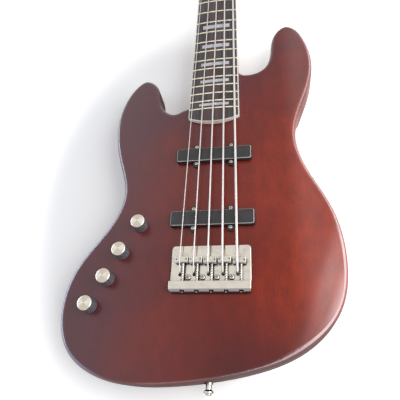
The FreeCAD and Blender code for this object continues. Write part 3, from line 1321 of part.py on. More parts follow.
def make_knob(index):
    """A domed knob on its shaft, held by a set screw in its side."""
    place = knob_place(index) + V(0, 0, KNOB_FLOOR_GAP)
    base, rim = KNOB_DIAMETER / 2, KNOB_TOP_DIAMETER / 2
    flat = rim - KNOB_TOP_EDGE
    shoulder = KNOB_HEIGHT - KNOB_DOME
    dome_radius = (flat ** 2 + KNOB_DOME ** 2) / (2 * KNOB_DOME)
    lean = math.asin(flat / dome_radius) / 2
    bend = math.sqrt(2) / 2
    low, edge = V(base, 0, 0), V(rim, 0, shoulder - KNOB_TOP_EDGE)
    turn = V(flat + KNOB_TOP_EDGE * bend, 0, shoulder - KNOB_TOP_EDGE * (1 - bend))
    brow, crown = V(flat, 0, shoulder), V(0, 0, KNOB_HEIGHT)
    swell = V(dome_radius * math.sin(lean), 0, KNOB_HEIGHT - dome_radius * (1 - math.cos(lean)))
    line = [Part.LineSegment(V(0, 0, 0), low), Part.LineSegment(low, edge), Part.Arc(edge, turn, brow),
            Part.Arc(brow, swell, crown), Part.LineSegment(crown, V(0, 0, 0))]
    knob = Part.Face(Part.Wire([part.toShape() for part in line])).revolve(V(0, 0, 0), V(0, 0, 1), 360)
    grip_top = KNOB_SKIRT_DEPTH + KNOB_SHAFT_GRIP
    cuts = [rod(KNOB_SKIRT_DIAMETER, V(0, 0, 0), V(0, 0, KNOB_SKIRT_DEPTH)),
            rod(POT_SHAFT_DIAMETER, V(0, 0, 0), V(0, 0, grip_top))]
    start = V(POT_SHAFT_DIAMETER / 2, 0, SET_SCREW_HEIGHT)
    screw_end = V(rim - SET_SCREW_SINK, 0, SET_SCREW_HEIGHT)
    cuts.append(rod(SET_SCREW_DIAMETER, V(0, 0, SET_SCREW_HEIGHT), V(KNOB_DIAMETER, 0, SET_SCREW_HEIGHT)))
    socket = hexagon(SET_SCREW_SOCKET, V(0, 0, 0), SET_SCREW_SOCKET_DEPTH + CUT_OVERRUN)
    socket.rotate(V(0, 0, 0), V(0, 1, 0), 90)
    socket = moved(socket, screw_end - V(SET_SCREW_SOCKET_DEPTH, 0, 0))
    screw = rod(SET_SCREW_DIAMETER, start, screw_end).cut(socket)
    below = place.z - CAVITY_TOP + POT_SHAFT_SINK
    shaft = rod(POT_SHAFT_DIAMETER, V(0, 0, -below), V(0, 0, grip_top))
    screw = screw.cut(shaft)
    solids = [knob.cut(cuts), shaft, screw]
    for solid in solids:
        solid.rotate(V(0, 0, 0), V(0, 0, 1), SET_SCREW_TURN)
        solid.translate(place)
    return solids


def make_potentiometer(index):
    """A potentiometer can with its threaded bush, under the roof of the cavity."""
    place = knob_place(index)
    roof = V(place.x, place.y, CAVITY_TOP)
    can = rod(POT_DIAMETER, roof - V(0, 0, POT_HEIGHT), roof)
    bush = rod(POT_BUSH_DIAMETER, roof, place + V(0, 0, POT_BUSH_RISE))
    floor = roof - V(0, 0, POT_SHAFT_SINK + RUNNING_CLEARANCE)
    bore = bearing_bore(POT_SHAFT_DIAMETER, floor, place + V(0, 0, POT_BUSH_RISE))
    return can.fuse(bush).cut(bore).removeSplitter()


def make_pot_nut(index):
    """The washer and the nut that hold a potentiometer on the top of the body."""
    place = knob_place(index)
    hole = screw_hole(POT_BUSH_DIAMETER, place, place + V(0, 0, POT_BUSH_RISE))
    washer = rod(POT_WASHER_DIAMETER, place, place + V(0, 0, POT_WASHER_THICKNESS))
    nut = hexagon(POT_NUT_WIDTH, place + V(0, 0, POT_WASHER_THICKNESS), POT_NUT_THICKNESS)
    return [washer.cut(hole), nut.cut(hole)]


def make_control_cover():
    """The plate over the control cavity, flush with the back."""
    hole = countersunk_hole(COVER_SCREW_DIAMETER, COVER_SCREW_LENGTH, COVER_SCREW_HEAD_DIAMETER)
    plate = cavity_plate(COVER_LEDGE, 0, COVER_THICKNESS)
    return plate.cut([moved(hole, place) for place in cover_screw_places()])


def on_cavity_line(shape, share):
    """A copy of a piece turned along the control cavity, at a share of its length, on the cover."""
    start, end = cavity_line()
    span = end - start
    copy = shape.copy()
    copy.rotate(V(0, 0, 0), V(0, 0, 1), math.degrees(math.atan2(span.y, span.x)))
    at = start + span * share
    copy.translate(V(at.x, at.y, COVER_THICKNESS))
    return copy


def make_battery():
    """A nine volt block with two terminals at one end."""
    half, wide = BATTERY_LENGTH / 2, BATTERY_WIDTH / 2
    case = block(-half, half - BATTERY_TERMINAL_HEIGHT, -wide, wide, 0, BATTERY_HEIGHT)
    for side in (-1, 1):
        foot = V(half - BATTERY_TERMINAL_HEIGHT, side * BATTERY_TERMINAL_SPACING / 2, BATTERY_HEIGHT / 2)
        case = case.fuse(rod(BATTERY_TERMINAL_DIAMETER, foot, foot + V(BATTERY_TERMINAL_HEIGHT, 0, 0)))
    return on_cavity_line(case, BATTERY_PLACE_SHARE)


def make_preamp_board():
    """A circuit board on four stands, with two chips."""
    half, wide = PREAMP_LENGTH / 2, PREAMP_WIDTH / 2
    top = PREAMP_STAND_HEIGHT + PREAMP_THICKNESS
    board = block(-half, half, -wide, wide, PREAMP_STAND_HEIGHT, top)
    inset = 2 * PREAMP_STAND_DIAMETER
    pieces = []
    for foot in corners_about(V(0, 0, 0), PREAMP_LENGTH - inset, PREAMP_WIDTH - inset):
        pieces.append(rod(PREAMP_STAND_DIAMETER, foot, foot + V(0, 0, PREAMP_STAND_HEIGHT)))
    for side in (-1, 1):
        left = side * half / 2 - CHIP_LENGTH / 2
        chip = block(left, left + CHIP_LENGTH, -CHIP_WIDTH / 2, CHIP_WIDTH / 2, top, top + CHIP_HEIGHT)
        pieces.append(chip)
    return on_cavity_line(board.fuse(pieces), BOARD_PLACE_SHARE)


def make_output_jack():
    """The jack socket, its round plate sunk in the edge, and the nut outside."""
    seat = edge_place(lower_place(LOWER_OUTLINE_SHARES[JACK_OUTLINE_POINT])) + V(JACK_FLANGE_SINK, 0, 0)
    face = seat - V(JACK_FLANGE_THICKNESS, 0, 0)
    mouth = face - V(JACK_NUT_THICKNESS + JACK_CLEARANCE, 0, 0)
    barrel = rod(JACK_BARREL_DIAMETER, mouth, mouth + V(JACK_BARREL_LENGTH, 0, 0))
    barrel = barrel.cut(rod(JACK_BORE_DIAMETER, mouth, mouth + V(JACK_BORE_DEPTH, 0, 0)))
    hole = screw_hole(JACK_BARREL_DIAMETER, mouth, seat)
    plate = rod(JACK_FLANGE_DIAMETER, face, seat).cut(hole)
    nut = hexagon(JACK_NUT_WIDTH, V(0, 0, 0), JACK_NUT_THICKNESS)
    nut.rotate(V(0, 0, 0), V(0, 1, 0), -90)
    return [barrel, plate, moved(nut, face).cut(hole)]


# Fasteners and small pieces of the body

def pointed(shape, way):
    """A copy of a piece made along +Z, turned to point another way."""
    copy = shape.copy()
    copy.rotate(V(0, 0, 0), V(1, 0, 0), -90 if way.y > 0 else 90)
    return copy


def make_strap_button():
    """A turned button along +Z, wide at its foot and its end, with a hole for its screw."""
    foot = rod(BUTTON_BASE_DIAMETER, V(0, 0, 0), V(0, 0, BUTTON_RIM + BUTTON_SEAT_SINK))
    neck = rod(BUTTON_WAIST_DIAMETER, V(0, 0, 0), V(0, 0, BUTTON_LENGTH))
    flare = Part.makeCone(BUTTON_WAIST_DIAMETER / 2, BUTTON_END_DIAMETER / 2, BUTTON_RIM,
                          V(0, 0, BUTTON_LENGTH - 2 * BUTTON_RIM), V(0, 0, 1))
    end = rod(BUTTON_END_DIAMETER, V(0, 0, BUTTON_LENGTH - BUTTON_RIM), V(0, 0, BUTTON_LENGTH))
    end = end.makeFillet(BUTTON_RIM / 3, edges_at_height(end, BUTTON_LENGTH, BUTTON_RIM / 4))
    hole = screw_hole(BUTTON_SCREW_DIAMETER, V(0, 0, 0), V(0, 0, BUTTON_LENGTH))
    return foot.fuse([neck, flare, end]).cut(hole).removeSplitter()


def make_strap_buttons():
    """Both strap buttons, and their screws."""
    button = make_strap_button()
    screw = pan_screw(BUTTON_SCREW_DIAMETER, BUTTON_SCREW_LENGTH,
                      BUTTON_SCREW_HEAD_DIAMETER, BUTTON_SCREW_HEAD_HEIGHT)
    buttons, screws = [], []
    for seat, way in strap_button_places():
        buttons.append(moved(pointed(button, way), seat))
        screws.append(moved(pointed(screw, way), seat + way * BUTTON_LENGTH))
    return buttons, screws


def make_neck_plate():
    """The plate under the neck joint, flush with the back."""
    plate = centred_plate(HEEL_MIDDLE, PLATE_WIDTH, PLATE_LENGTH, 0, PLATE_THICKNESS, PLATE_CORNER_RADIUS)
    hole = countersunk_hole(NECK_SCREW_DIAMETER, BODY_TOP, NECK_SCREW_HEAD_DIAMETER)
    return plate.cut([moved(hole, place) for place in neck_screw_places()])


def make_retainer():
    """The bar over the strings behind the nut, on two pillars, with its screws."""
    half, wide = RETAINER_LENGTH / 2, RETAINER_WIDTH / 2
    y = NUT_Y + RETAINER_Y
    top = RETAINER_FLOOR + RETAINER_HEIGHT
    bar = block(-half, half, y - wide, y + wide, RETAINER_FLOOR, top)
    bar = bar.makeFillet(RETAINER_EDGE_RADIUS, bar.Edges)
    solids, holes = [], []
    length = top - HEAD_FACE + RETAINER_SCREW_BITE
    screw = pan_screw(RETAINER_SCREW_DIAMETER, length,
                      RETAINER_SCREW_HEAD_DIAMETER, RETAINER_SCREW_HEAD_HEIGHT)
    for place in retainer_screw_places():
        hole = screw_hole(RETAINER_SCREW_DIAMETER, place, place + V(0, 0, length))
        holes.append(hole)
        solids.append(rod(RETAINER_PILLAR_DIAMETER, place, place + V(0, 0, RETAINER_RISE)).cut(hole))
        solids.append(moved(screw, V(place.x, place.y, top)))
    return [bar.cut(holes)] + solids


# Tuning machines

def make_machine_plate():
    """The base plate with two lugs that carry the worm."""
    floor = -MACHINE_PLATE_THICKNESS
    plate = rounded_plate(-MACHINE_PLATE_INNER, MACHINE_PLATE_OUTER,
                          -MACHINE_PLATE_BACK, MACHINE_PLATE_FRONT, floor, 0, MACHINE_PLATE_CORNER)
    near, far = WORM_OFFSET_Y - LUG_HALF_WIDTH, WORM_OFFSET_Y + LUG_HALF_WIDTH
    low = WORM_Z - LUG_TAIL
    inner = block(-LUG_INNER_X - LUG_THICKNESS, -LUG_INNER_X, near, far, low, floor)
    outer = block(LUG_OUTER_X, LUG_OUTER_X + LUG_THICKNESS, near, far, low, floor)
    axis, reach = V(0, WORM_OFFSET_Y, WORM_Z), V(KEY_START, 0, 0)
    cuts = [bearing_bore(WORM_SHAFT_DIAMETER, axis - reach, axis + reach)]
    cuts.append(bearing_bore(POST_DIAMETER, V(0, 0, floor), V(0, 0, 0)))
    for place in machine_screw_places():
        cuts.append(screw_hole(MACHINE_SCREW_DIAMETER, place, place - V(0, 0, floor)))
    return plate.fuse([inner, outer]).cut(cuts)


def make_bushing():
    """The bushing in the face of the headstock, a bearing for the post."""
    face = V(0, 0, HEAD_THICKNESS)
    low, high = face - V(0, 0, BUSHING_SLEEVE_LENGTH), face + V(0, 0, BUSHING_FLANGE)
    flange = rod(BUSHING_DIAMETER, face, high)
    flange = flange.makeFillet(BUSHING_FLANGE / 2, edges_at_height(flange, high.z, BUSHING_FLANGE / 4))
    sleeve = rod(BUSHING_SLEEVE_DIAMETER, low, face)
    return flange.fuse(sleeve).cut(bearing_bore(POST_DIAMETER, low, high))


def gear_outline(z, lean):
    """The toothed outline of the gear at a height, turned by the lean of its teeth."""
    step = 2 * math.pi / GEAR_TEETH
    root, tip = GEAR_PITCH_RADIUS - TOOTH_DEDENDUM, GEAR_PITCH_RADIUS + TOOTH_ADDENDUM
    tip_half = TOOTH_TIP_SHARE * step / 2
    root_half = (2 * TOOTH_WIDTH_SHARE - TOOTH_TIP_SHARE) * step / 2
    corners = []
    for tooth in range(GEAR_TEETH):
        middle = math.pi / 2 + (tooth + 1 / 2) * step + lean
        for radius, offset in ((root, -root_half), (tip, -tip_half), (tip, tip_half), (root, root_half)):
            corners.append(V(radius * math.cos(middle + offset), radius * math.sin(middle + offset), z))
    return Part.makePolygon(corners + corners[:1])


def make_gear():
    """The worm gear on the foot of the post, its teeth leaning with the worm's thread."""
    lead = WORM_PITCH / (math.pi * WORM_PITCH_DIAMETER)
    lean = lead * GEAR_THICKNESS / 2 / GEAR_PITCH_RADIUS
    low = GEAR_TOP - GEAR_THICKNESS
    wheel = Part.makeLoft([gear_outline(low, -lean), gear_outline(GEAR_TOP, lean)], True, True)
    return wheel.cut(rod(POST_FOOT_DIAMETER, V(0, 0, low), V(0, 0, GEAR_TOP)))


def make_post(index, route):
    """A slotted string post, its gear and the screw under the gear."""
    foot = GEAR_TOP - GEAR_THICKNESS
    top = HEAD_THICKNESS + POST_RISE
    post = rod(POST_DIAMETER, V(0, 0, GEAR_TOP), V(0, 0, top))
    cap = rod(POST_CAP_DIAMETER, V(0, 0, top - POST_CAP_THICKNESS), V(0, 0, top))
    cap = cap.makeFillet(POST_CAP_THICKNESS / 3, cap.Edges[:1] + cap.Edges[2:])
    screw = pan_screw(POST_HOLE_DIAMETER, GEAR_THICKNESS, GEAR_SCREW_DIAMETER, GEAR_SCREW_HEIGHT)
    screw.rotate(V(0, 0, 0), V(1, 0, 0), 180)
    screw = moved(screw, V(0, 0, foot))
    thread = screw_hole(POST_HOLE_DIAMETER, V(0, 0, foot), V(0, 0, GEAR_TOP + SCREW_FIT))
    stem = rod(POST_FOOT_DIAMETER, V(0, 0, foot), V(0, 0, GEAR_TOP))
    hole = rod(POST_HOLE_DIAMETER, V(0, 0, top - POST_HOLE_DEPTH), V(0, 0, top))
    post = post.fuse([cap, stem]).cut([thread, hole]).removeSplitter()
    solids = [on_headstock(solid, index) for solid in (post, make_gear(), screw)]
    slot = route["slot"]
    axis = post_place(index)
    wide = STRING_DIAMETERS[index] / 2 + SLOT_CLEARANCE
    floor = slot.z - wide
    gap = block(-POST_CAP_DIAMETER, POST_CAP_DIAMETER, -wide, wide, floor, axis.z + top + CUT_OVERRUN)
    gap.rotate(V(0, 0, 0), V(0, 0, 1), math.degrees(math.atan2(slot.y - axis.y, slot.x - axis.x)))
    solids[0] = solids[0].cut(moved(gap, V(axis.x, axis.y, 0)))
    return solids


def make_worm():
    """The worm thread along +X, with a crest facing the gear at its middle."""
    run = WORM_TURNS * WORM_PITCH
    pitch_radius = WORM_PITCH_DIAMETER / 2
    inner, outer = WORM_SHAFT_DIAMETER / 2 - MESH_CLEARANCE, pitch_radius + TOOTH_ADDENDUM
    tip = TOOTH_TIP_SHARE * WORM_PITCH / 2
    slope = (TOOTH_WIDTH_SHARE - TOOTH_TIP_SHARE) * WORM_PITCH / 2 / TOOTH_ADDENDUM
    root = tip + slope * (outer - inner)
    corners = [V(inner, 0, -root), V(outer, 0, -tip), V(outer, 0, tip), V(inner, 0, root)]
    profile = Part.makePolygon(corners + corners[:1])
    helix = Part.makeHelix(WORM_PITCH, run, pitch_radius)
    thread = Part.Wire(helix.Edges).makePipeShell([profile], True, True)
    thread.translate(V(0, 0, -run / 2))
    return thread


def make_key():
    """A tuning key with its worm shaft, pointing along +X."""
    thread = make_worm()
    thread.rotate(V(0, 0, 0), V(0, 0, 1), 180)
    thread.rotate(V(0, 0, 0), V(0, 1, 0), 90)
    thread.rotate(V(0, 0, 0), V(1, 0, 0), 90)
    collar_start = V(KEY_START - KEY_COLLAR_LENGTH / 2, 0, 0)
    collar_end = V(KEY_START + KEY_COLLAR_LENGTH / 2, 0, 0)
    shaft = rod(WORM_SHAFT_DIAMETER, V(-LUG_INNER_X - LUG_THICKNESS, 0, 0), collar_end)
    collar = rod(KEY_COLLAR_DIAMETER, collar_start, collar_end)
    points = [(KEY_START + x * KEY_LENGTH, y * KEY_WIDTH) for x, y in KEY_OUTLINE_SHARES]
    paddle = smooth_outline(points, -KEY_THICKNESS / 2, 1).extrude(V(0, 0, KEY_THICKNESS))
    rims = edges_at_height(paddle, KEY_THICKNESS / 2, KEY_EDGE_RADIUS / 2)
    rims += edges_at_height(paddle, -KEY_THICKNESS / 2, KEY_EDGE_RADIUS / 2)
    paddle = paddle.makeFillet(KEY_EDGE_RADIUS, rims)
    key = shaft.fuse([collar, paddle, thread])
    return moved(key, V(0, WORM_OFFSET_Y, WORM_Z))


def make_machine_screws():
    """The screws of all the base plates."""
    screw = pan_screw(MACHINE_SCREW_DIAMETER, MACHINE_SCREW_LENGTH,
                      MACHINE_SCREW_HEAD_DIAMETER, MACHINE_SCREW_HEAD_HEIGHT)
    screw.rotate(V(0, 0, 0), V(1, 0, 0), 180)
    solids = []
    for index in range(STRING_COUNT):
        solids += [on_headstock(moved(screw, place), index) for place in machine_screw_places()]
    return solids


# The nodes

def save(name, solids):
    """Write one node; several solids go in as a group."""
    shape = solids[0] if len(solids) == 1 else Part.makeCompound(solids)
    shape.exportStep("parts/" + name + ".step")


def main():
    """Make every piece and write it."""
    os.makedirs("parts", exist_ok=True)
    all_strings = range(STRING_COUNT)
    routes = [string_route(index) for index in all_strings]
    save("body", [make_body()])
    save("neck", [make_neck()])
    inner_board = board_blank(BINDING_WIDTH)
    marks = inlay_blocks()
    tangs = [fret_tang(number + 1) for number in range(FRET_COUNT)]
    save("fingerboard", [inner_board.cut(marks + tangs)])
    save("fingerboard_binding", [board_blank(0).cut(inner_board)])
    save("position_blocks", [inner_board.common(mark) for mark in marks])
    save("frets", [make_fret(number + 1) for number in range(FRET_COUNT)])
    save("nut", [make_nut(routes)])
    save("truss_rod", [make_truss_rod()])
    save("truss_rod_nut", [make_truss_rod_nut()])
    save("neck_plate", [make_neck_plate()])
    reach = BODY_TOP - HEEL_DEPTH + NECK_SCREW_BITE
    neck_screw = countersunk_screw(NECK_SCREW_DIAMETER, reach, NECK_SCREW_HEAD_DIAMETER)
    save("neck_screws", [moved(neck_screw, place) for place in neck_screw_places()])
    save("strings", [make_string(index, routes[index]) for index in all_strings])
    save("string_ferrules", [make_ferrule(index) for index in all_strings])
    save("string_retainer", make_retainer())
    buttons, button_screws = make_strap_buttons()
    save("strap_buttons", buttons)
    save("strap_button_screws", button_screws)
    for index, name in enumerate(PICKUP_NAMES):
        save(name + "_pickup_cover", [make_pickup_cover(index)])
        save(name + "_pickup_coil", make_pickup_coil(index))
    save("pickup_foam_pads", [make_foam_pad(index) for index in range(len(PICKUP_NAMES))])
    save("pickup_screws", make_pickup_screws())
    save("bridge_plate", [make_bridge_plate()])
    bridge_screw = pan_screw(BRIDGE_SCREW_DIAMETER, BRIDGE_SCREW_LENGTH,
                             BRIDGE_SCREW_HEAD_DIAMETER, BRIDGE_SCREW_HEAD_HEIGHT)
    save("bridge_screws", [moved(bridge_screw, place) for place in bridge_screw_places()])
    save("intonation_springs", [make_spring(index) for index in all_strings])
    for index in all_strings:
        save("saddle_" + STRING_NAMES[index], make_saddle(index, routes[index]))
        save("intonation_screw_" + STRING_NAMES[index], [make_tone_screw(index)])
    for index in range(KNOB_COUNT):
        save(KNOB_NAMES[index] + "_knob", make_knob(index))
    save("potentiometers", [make_potentiometer(index) for index in range(KNOB_COUNT)])
    save("pot_nuts", [solid for index in range(KNOB_COUNT) for solid in make_pot_nut(index)])
    save("control_cover", [make_control_cover()])
    cover_screw = countersunk_screw(COVER_SCREW_DIAMETER, COVER_SCREW_LENGTH, COVER_SCREW_HEAD_DIAMETER)
    save("cover_screws", [moved(cover_screw, place) for place in cover_screw_places()])
    save("battery", [make_battery()])
    save("preamp_board", [make_preamp_board()])
    save("output_jack", make_output_jack())
    plate, bushing, key = make_machine_plate(), make_bushing(), make_key()
    save("tuner_plates", [on_headstock(plate, index) for index in all_strings])
    save("tuner_bushings", [on_headstock(bushing, index) for index in all_strings])
    save("tuner_screws", make_machine_screws())
    for index in all_strings:
        save("tuner_key_" + STRING_NAMES[index], [on_headstock(key, index)])
        save("tuner_post_" + STRING_NAMES[index], make_post(index, routes[index]))


main()
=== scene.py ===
import math

import bmesh
import bpy
from bpy.props import FloatProperty, FloatVectorProperty, IntProperty, PointerProperty
from mathutils import Euler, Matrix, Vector


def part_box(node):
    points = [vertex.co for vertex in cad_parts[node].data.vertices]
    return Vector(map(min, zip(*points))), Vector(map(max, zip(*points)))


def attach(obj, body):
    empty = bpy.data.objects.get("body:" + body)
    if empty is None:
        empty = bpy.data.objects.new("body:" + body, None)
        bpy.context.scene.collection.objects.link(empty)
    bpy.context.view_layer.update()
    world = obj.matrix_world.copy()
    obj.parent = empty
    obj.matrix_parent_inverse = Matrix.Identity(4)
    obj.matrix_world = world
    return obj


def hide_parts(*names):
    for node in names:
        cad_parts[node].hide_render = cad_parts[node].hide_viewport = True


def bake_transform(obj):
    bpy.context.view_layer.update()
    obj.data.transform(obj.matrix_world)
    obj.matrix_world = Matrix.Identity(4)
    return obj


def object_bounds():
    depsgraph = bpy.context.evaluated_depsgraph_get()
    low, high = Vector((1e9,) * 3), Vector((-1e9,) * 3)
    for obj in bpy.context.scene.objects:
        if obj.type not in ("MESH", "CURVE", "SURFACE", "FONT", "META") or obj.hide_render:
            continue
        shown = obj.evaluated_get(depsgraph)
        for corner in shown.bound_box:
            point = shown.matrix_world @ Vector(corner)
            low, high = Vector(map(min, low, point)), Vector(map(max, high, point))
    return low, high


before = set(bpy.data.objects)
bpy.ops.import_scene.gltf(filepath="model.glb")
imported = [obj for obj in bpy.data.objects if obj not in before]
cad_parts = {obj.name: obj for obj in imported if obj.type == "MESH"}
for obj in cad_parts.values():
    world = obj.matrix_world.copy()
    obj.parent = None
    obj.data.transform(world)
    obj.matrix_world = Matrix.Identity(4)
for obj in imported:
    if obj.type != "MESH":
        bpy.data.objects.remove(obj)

bl_info = {
    "name": "Bass guitar finishes",
    "version": (1, 0, 0),
    "blender": (4, 5, 0),
    "location": "3D View > Sidebar > Bass",
    "description": "Woods, metals, strings, springs, foam and stage of a left-handed five-string bass",
    "category": "Object",
}

CAD_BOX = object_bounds()
STRING_NAMES = ("g", "d", "a", "e", "b")
KNOB_NAMES = ("volume", "blend", "treble", "bass")
PICKUP_NAMES = ("neck", "bridge")
LAMP_NAMES = ("softbox", "window", "white_card", "pale_wall")
WHITE = (1.0, 1.0, 1.0)

# How finely the built pieces are divided
CREASE_ANGLE = math.radians(40)
WELD_DISTANCE = 1e-7
TAIL_STEPS, RUN_STEPS, LEAD_STEPS = 10, 14, 10
SPRING_STEPS, SPRING_SIDES = 20, 8
FOAM_CUTS = 11

# The uneven swelling of pressed foam: its share, its depth and its waves across the pad
SWELL_SHARE, RIPPLE_DEPTH = 0.9, 0.12
RIPPLE_X, RIPPLE_XY, RIPPLE_Y, RIPPLE_YZ = 37.0, 11.0, 23.0, 7.0

# What the wave texture turns in one unit, in radians
WAVE_TURN = 20.0
BOARD_THICKNESS, CHIP_STEP = 0.0017, 0.0001
SENSOR_WIDTH, CLIP_START = 36.0, 0.01


# Properties

def number(name, description, default, **limits):
    """A plain number that a user may change."""
    return FloatProperty(name=name, description=description, default=default, **limits)


def factor(name, description, default):
    """A share from none to all that a user may change."""
    return number(name, description, default, min=0.0, max=1.0, subtype="FACTOR")


def length(name, description, default):
    """A length in metres that a user may change."""
    return number(name, description, default, min=0.0, subtype="DISTANCE", unit="LENGTH", precision=5)


def power(name, description, default):
    """The power of a lamp that a user may change."""
    return number(name, description, default, min=0.0, unit="POWER")


def count(name, description, default, least):
    """A whole number that a user may change."""
    return IntProperty(name=name, description=description, default=default, min=least)


def colour(name, description, default):
    """A colour that a user may change."""
    return FloatVectorProperty(name=name, description=description, default=default, subtype="COLOR",
                               size=3, min=0.0, max=1.0)


def point(name, description, default):
    """A place in the frame that a user may change."""
    return FloatVectorProperty(name=name, description=description, default=default,
                               subtype="TRANSLATION", unit="LENGTH", size=3)


def lamp(name, width, height, watts, place, tint):
    """The settings of one lamp, under its own name."""
    words = name.replace("_", " ")
    label = words.capitalize()
    return {name + "_width": length(label + " width", "Width of the " + words, width),
            name + "_height": length(label + " height", "Height of the " + words, height),
            name + "_power": power(label + " power", "Power of the light off the " + words, watts),
            name + "_place": point(label + " place", "Middle of the " + words, place),
            name + "_tint": colour(label + " tint", "Colour of the light off the " + words, tint)}


class BassFinish(bpy.types.PropertyGroup):
    """The colours and sizes of the finishes and of the springs, strings and foam."""

    # Body stains: the glow is partly painted light on the lit bass side, the plum is partly painted shade to
    # the treble side
    body_glow_painted_light: colour("Body glow", "Brightest stain, by the forearm contour", (0.385, 0.035, 0.009))
    body_red: colour("Body red", "Stain in the middle of the slab", (0.210, 0.017, 0.007))
    body_plum_painted_shade: colour("Body plum", "Darker stain on the treble side", (0.080, 0.012, 0.026))
    # The tail colour is partly painted shade
    body_tail_painted_shade: colour("Body tail", "Dark stain by the strap button", (0.050, 0.009, 0.014))
    body_pores: colour("Body pores", "Stain in the pores and dark bands", (0.060, 0.007, 0.004))
    # Painted highlights along the tail's edges
    edge_painted_highlight_pink: colour("Edge pink", "Rubbed edge, bass side of the tail", (0.80, 0.62, 0.64))
    edge_painted_highlight_blue: colour("Edge blue", "Rubbed edge, treble side of the tail", (0.40, 0.40, 0.62))
    # Painted shade on the rim and the sides
    body_rim_painted_shade: colour("Body rim", "Stain gathered on the rim and sides", (0.045, 0.005, 0.004))
    maple_pale: colour("Maple pale", "Pale growth of the neck wood", (0.66, 0.43, 0.21))
    maple_dark: colour("Maple dark", "Dark growth of the neck wood", (0.50, 0.29, 0.12))
    maple_fleck: colour("Maple fleck", "Short flecks in the neck wood", (0.36, 0.19, 0.075))
    board_pale: colour("Board pale", "Pale streaks of the fingerboard", (0.105, 0.088, 0.086))
    board_dark: colour("Board dark", "Dark heart of the fingerboard", (0.024, 0.023, 0.026))
    board_red: colour("Board red", "Warm patches of the fingerboard", (0.105, 0.040, 0.030))
    board_pores: colour("Board pores", "Open pores of the fingerboard", (0.012, 0.008, 0.007))
    binding_cream: colour("Binding cream", "Strip round the fingerboard", (0.90, 0.88, 0.83))
    binding_aged: colour("Binding aged", "Yellowed parts of the strip", (0.84, 0.78, 0.66))
    pearl_white: colour("Pearl white", "Bright clouds of the blocks", (0.88, 0.87, 0.93))
    pearl_lilac: colour("Pearl lilac", "Cool clouds of the blocks", (0.72, 0.70, 0.80))
    bone_pale: colour("Bone pale", "Ground of the nut", (0.82, 0.77, 0.66))
    bone_dark: colour("Bone dark", "Streaks in the nut", (0.68, 0.60, 0.46))
    fret_pale: colour("Fret pale", "Polished crown of the frets", (0.78, 0.73, 0.58))
    fret_dull: colour("Fret dull", "Tarnish on the frets", (0.58, 0.52, 0.39))
    plate_bright: colour("Plating bright", "Polished plating", (0.70, 0.65, 0.565))
    plate_dull: colour("Plating dull", "Handled plating", (0.50, 0.46, 0.40))
    # Painted shade on upright plating, painted light on its upper faces towards the tail
    plate_side_painted_shade: colour("Plating side", "Duller upright plating", (0.11, 0.11, 0.12))
    plate_tail_painted_light: colour("Plating tail", "Upright plating that faces the tail", (0.66, 0.67, 0.70))
    # Painted shade in the plated corners
    plate_corner_painted_shade: colour("Plating dirt", "Dirt in the corners", (0.055, 0.050, 0.045))
    # Painted bow-tie highlight of the knob tops, bright and dark wedges
    spun_bright_painted_highlight: colour("Spun bright", "Bright wedges of a knob's top", (0.80, 0.76, 0.68))
    spun_dull_and_painted_shade: colour("Spun dark", "Darker wedges of a knob's top", (0.60, 0.54, 0.45))
    knurl_dark: colour("Knurl dark", "Knurled sides of the knobs", (0.040, 0.040, 0.045))
    # Painted highlights on the knurl ridges
    knurl_painted_highlight: colour("Knurl pale", "Ridges of the knurled sides", (0.27, 0.27, 0.30))
    screw_dark: colour("Screw dark", "Set screws of the knobs", (0.010, 0.010, 0.010))
    steel_bright: colour("Steel bright", "Bare bright steel", (0.66, 0.66, 0.67))
    steel_dull: colour("Steel dull", "Oiled or dusty steel", (0.42, 0.42, 0.42))
    spring_grey: colour("Spring grey", "Wire of the springs", (0.46, 0.46, 0.48))
    spring_dark: colour("Spring dark", "Oil on the springs", (0.24, 0.24, 0.25))
    string_bright: colour("String bright", "Crowns of the winding", (0.74, 0.71, 0.69))
    # Dull winding, also the painted shade in its grooves
    string_dull_and_groove_shade: colour("String dull", "Valleys of the winding", (0.62, 0.59, 0.58))
    # Painted shade along the string's sides
    string_flank_painted_shade: colour("String flank", "Dirt along the winding's sides", (0.24, 0.20, 0.18))
    cover_black: colour("Cover black", "Pickup covers", (0.020, 0.020, 0.021))
    cover_grey: colour("Cover grey", "Rubbed parts of the covers", (0.044, 0.044, 0.045))
    # Painted highlights along the pickup covers' edges
    cover_edge_painted_highlight: colour("Cover edge", "Edges that hands have polished", (0.42, 0.42, 0.43))
    sheet_black: colour("Sheet black", "Control cover", (0.016, 0.016, 0.017))
    sheet_grey: colour("Sheet grey", "Grain of the control cover", (0.036, 0.036, 0.038))
    coil_dark: colour("Coil dark", "Lacquered pickup wire", (0.115, 0.030, 0.012))
    coil_bright: colour("Coil bright", "Glints of the pickup wire", (0.30, 0.105, 0.040))
    foam_dark: colour("Foam dark", "Cells of the foam", (0.012, 0.012, 0.013))
    foam_grey: colour("Foam grey", "Webs of the foam", (0.055, 0.055, 0.058))
    sleeve_dark: colour("Sleeve dark", "Battery sleeve", (0.020, 0.021, 0.026))
    sleeve_gold: colour("Sleeve gold", "Band at the battery's end", (0.42, 0.24, 0.07))
    sleeve_rub: colour("Sleeve rub", "Rubbed parts of the sleeve", (0.2, 0.2, 0.2))
    board_green: colour("Lacquer green", "Lacquer on the preamp board", (0.012, 0.090, 0.035))
    track_green: colour("Track green", "Tracks under the lacquer", (0.045, 0.190, 0.070))
    chip_black: colour("Chip black", "Parts on the preamp board", (0.014, 0.014, 0.015))

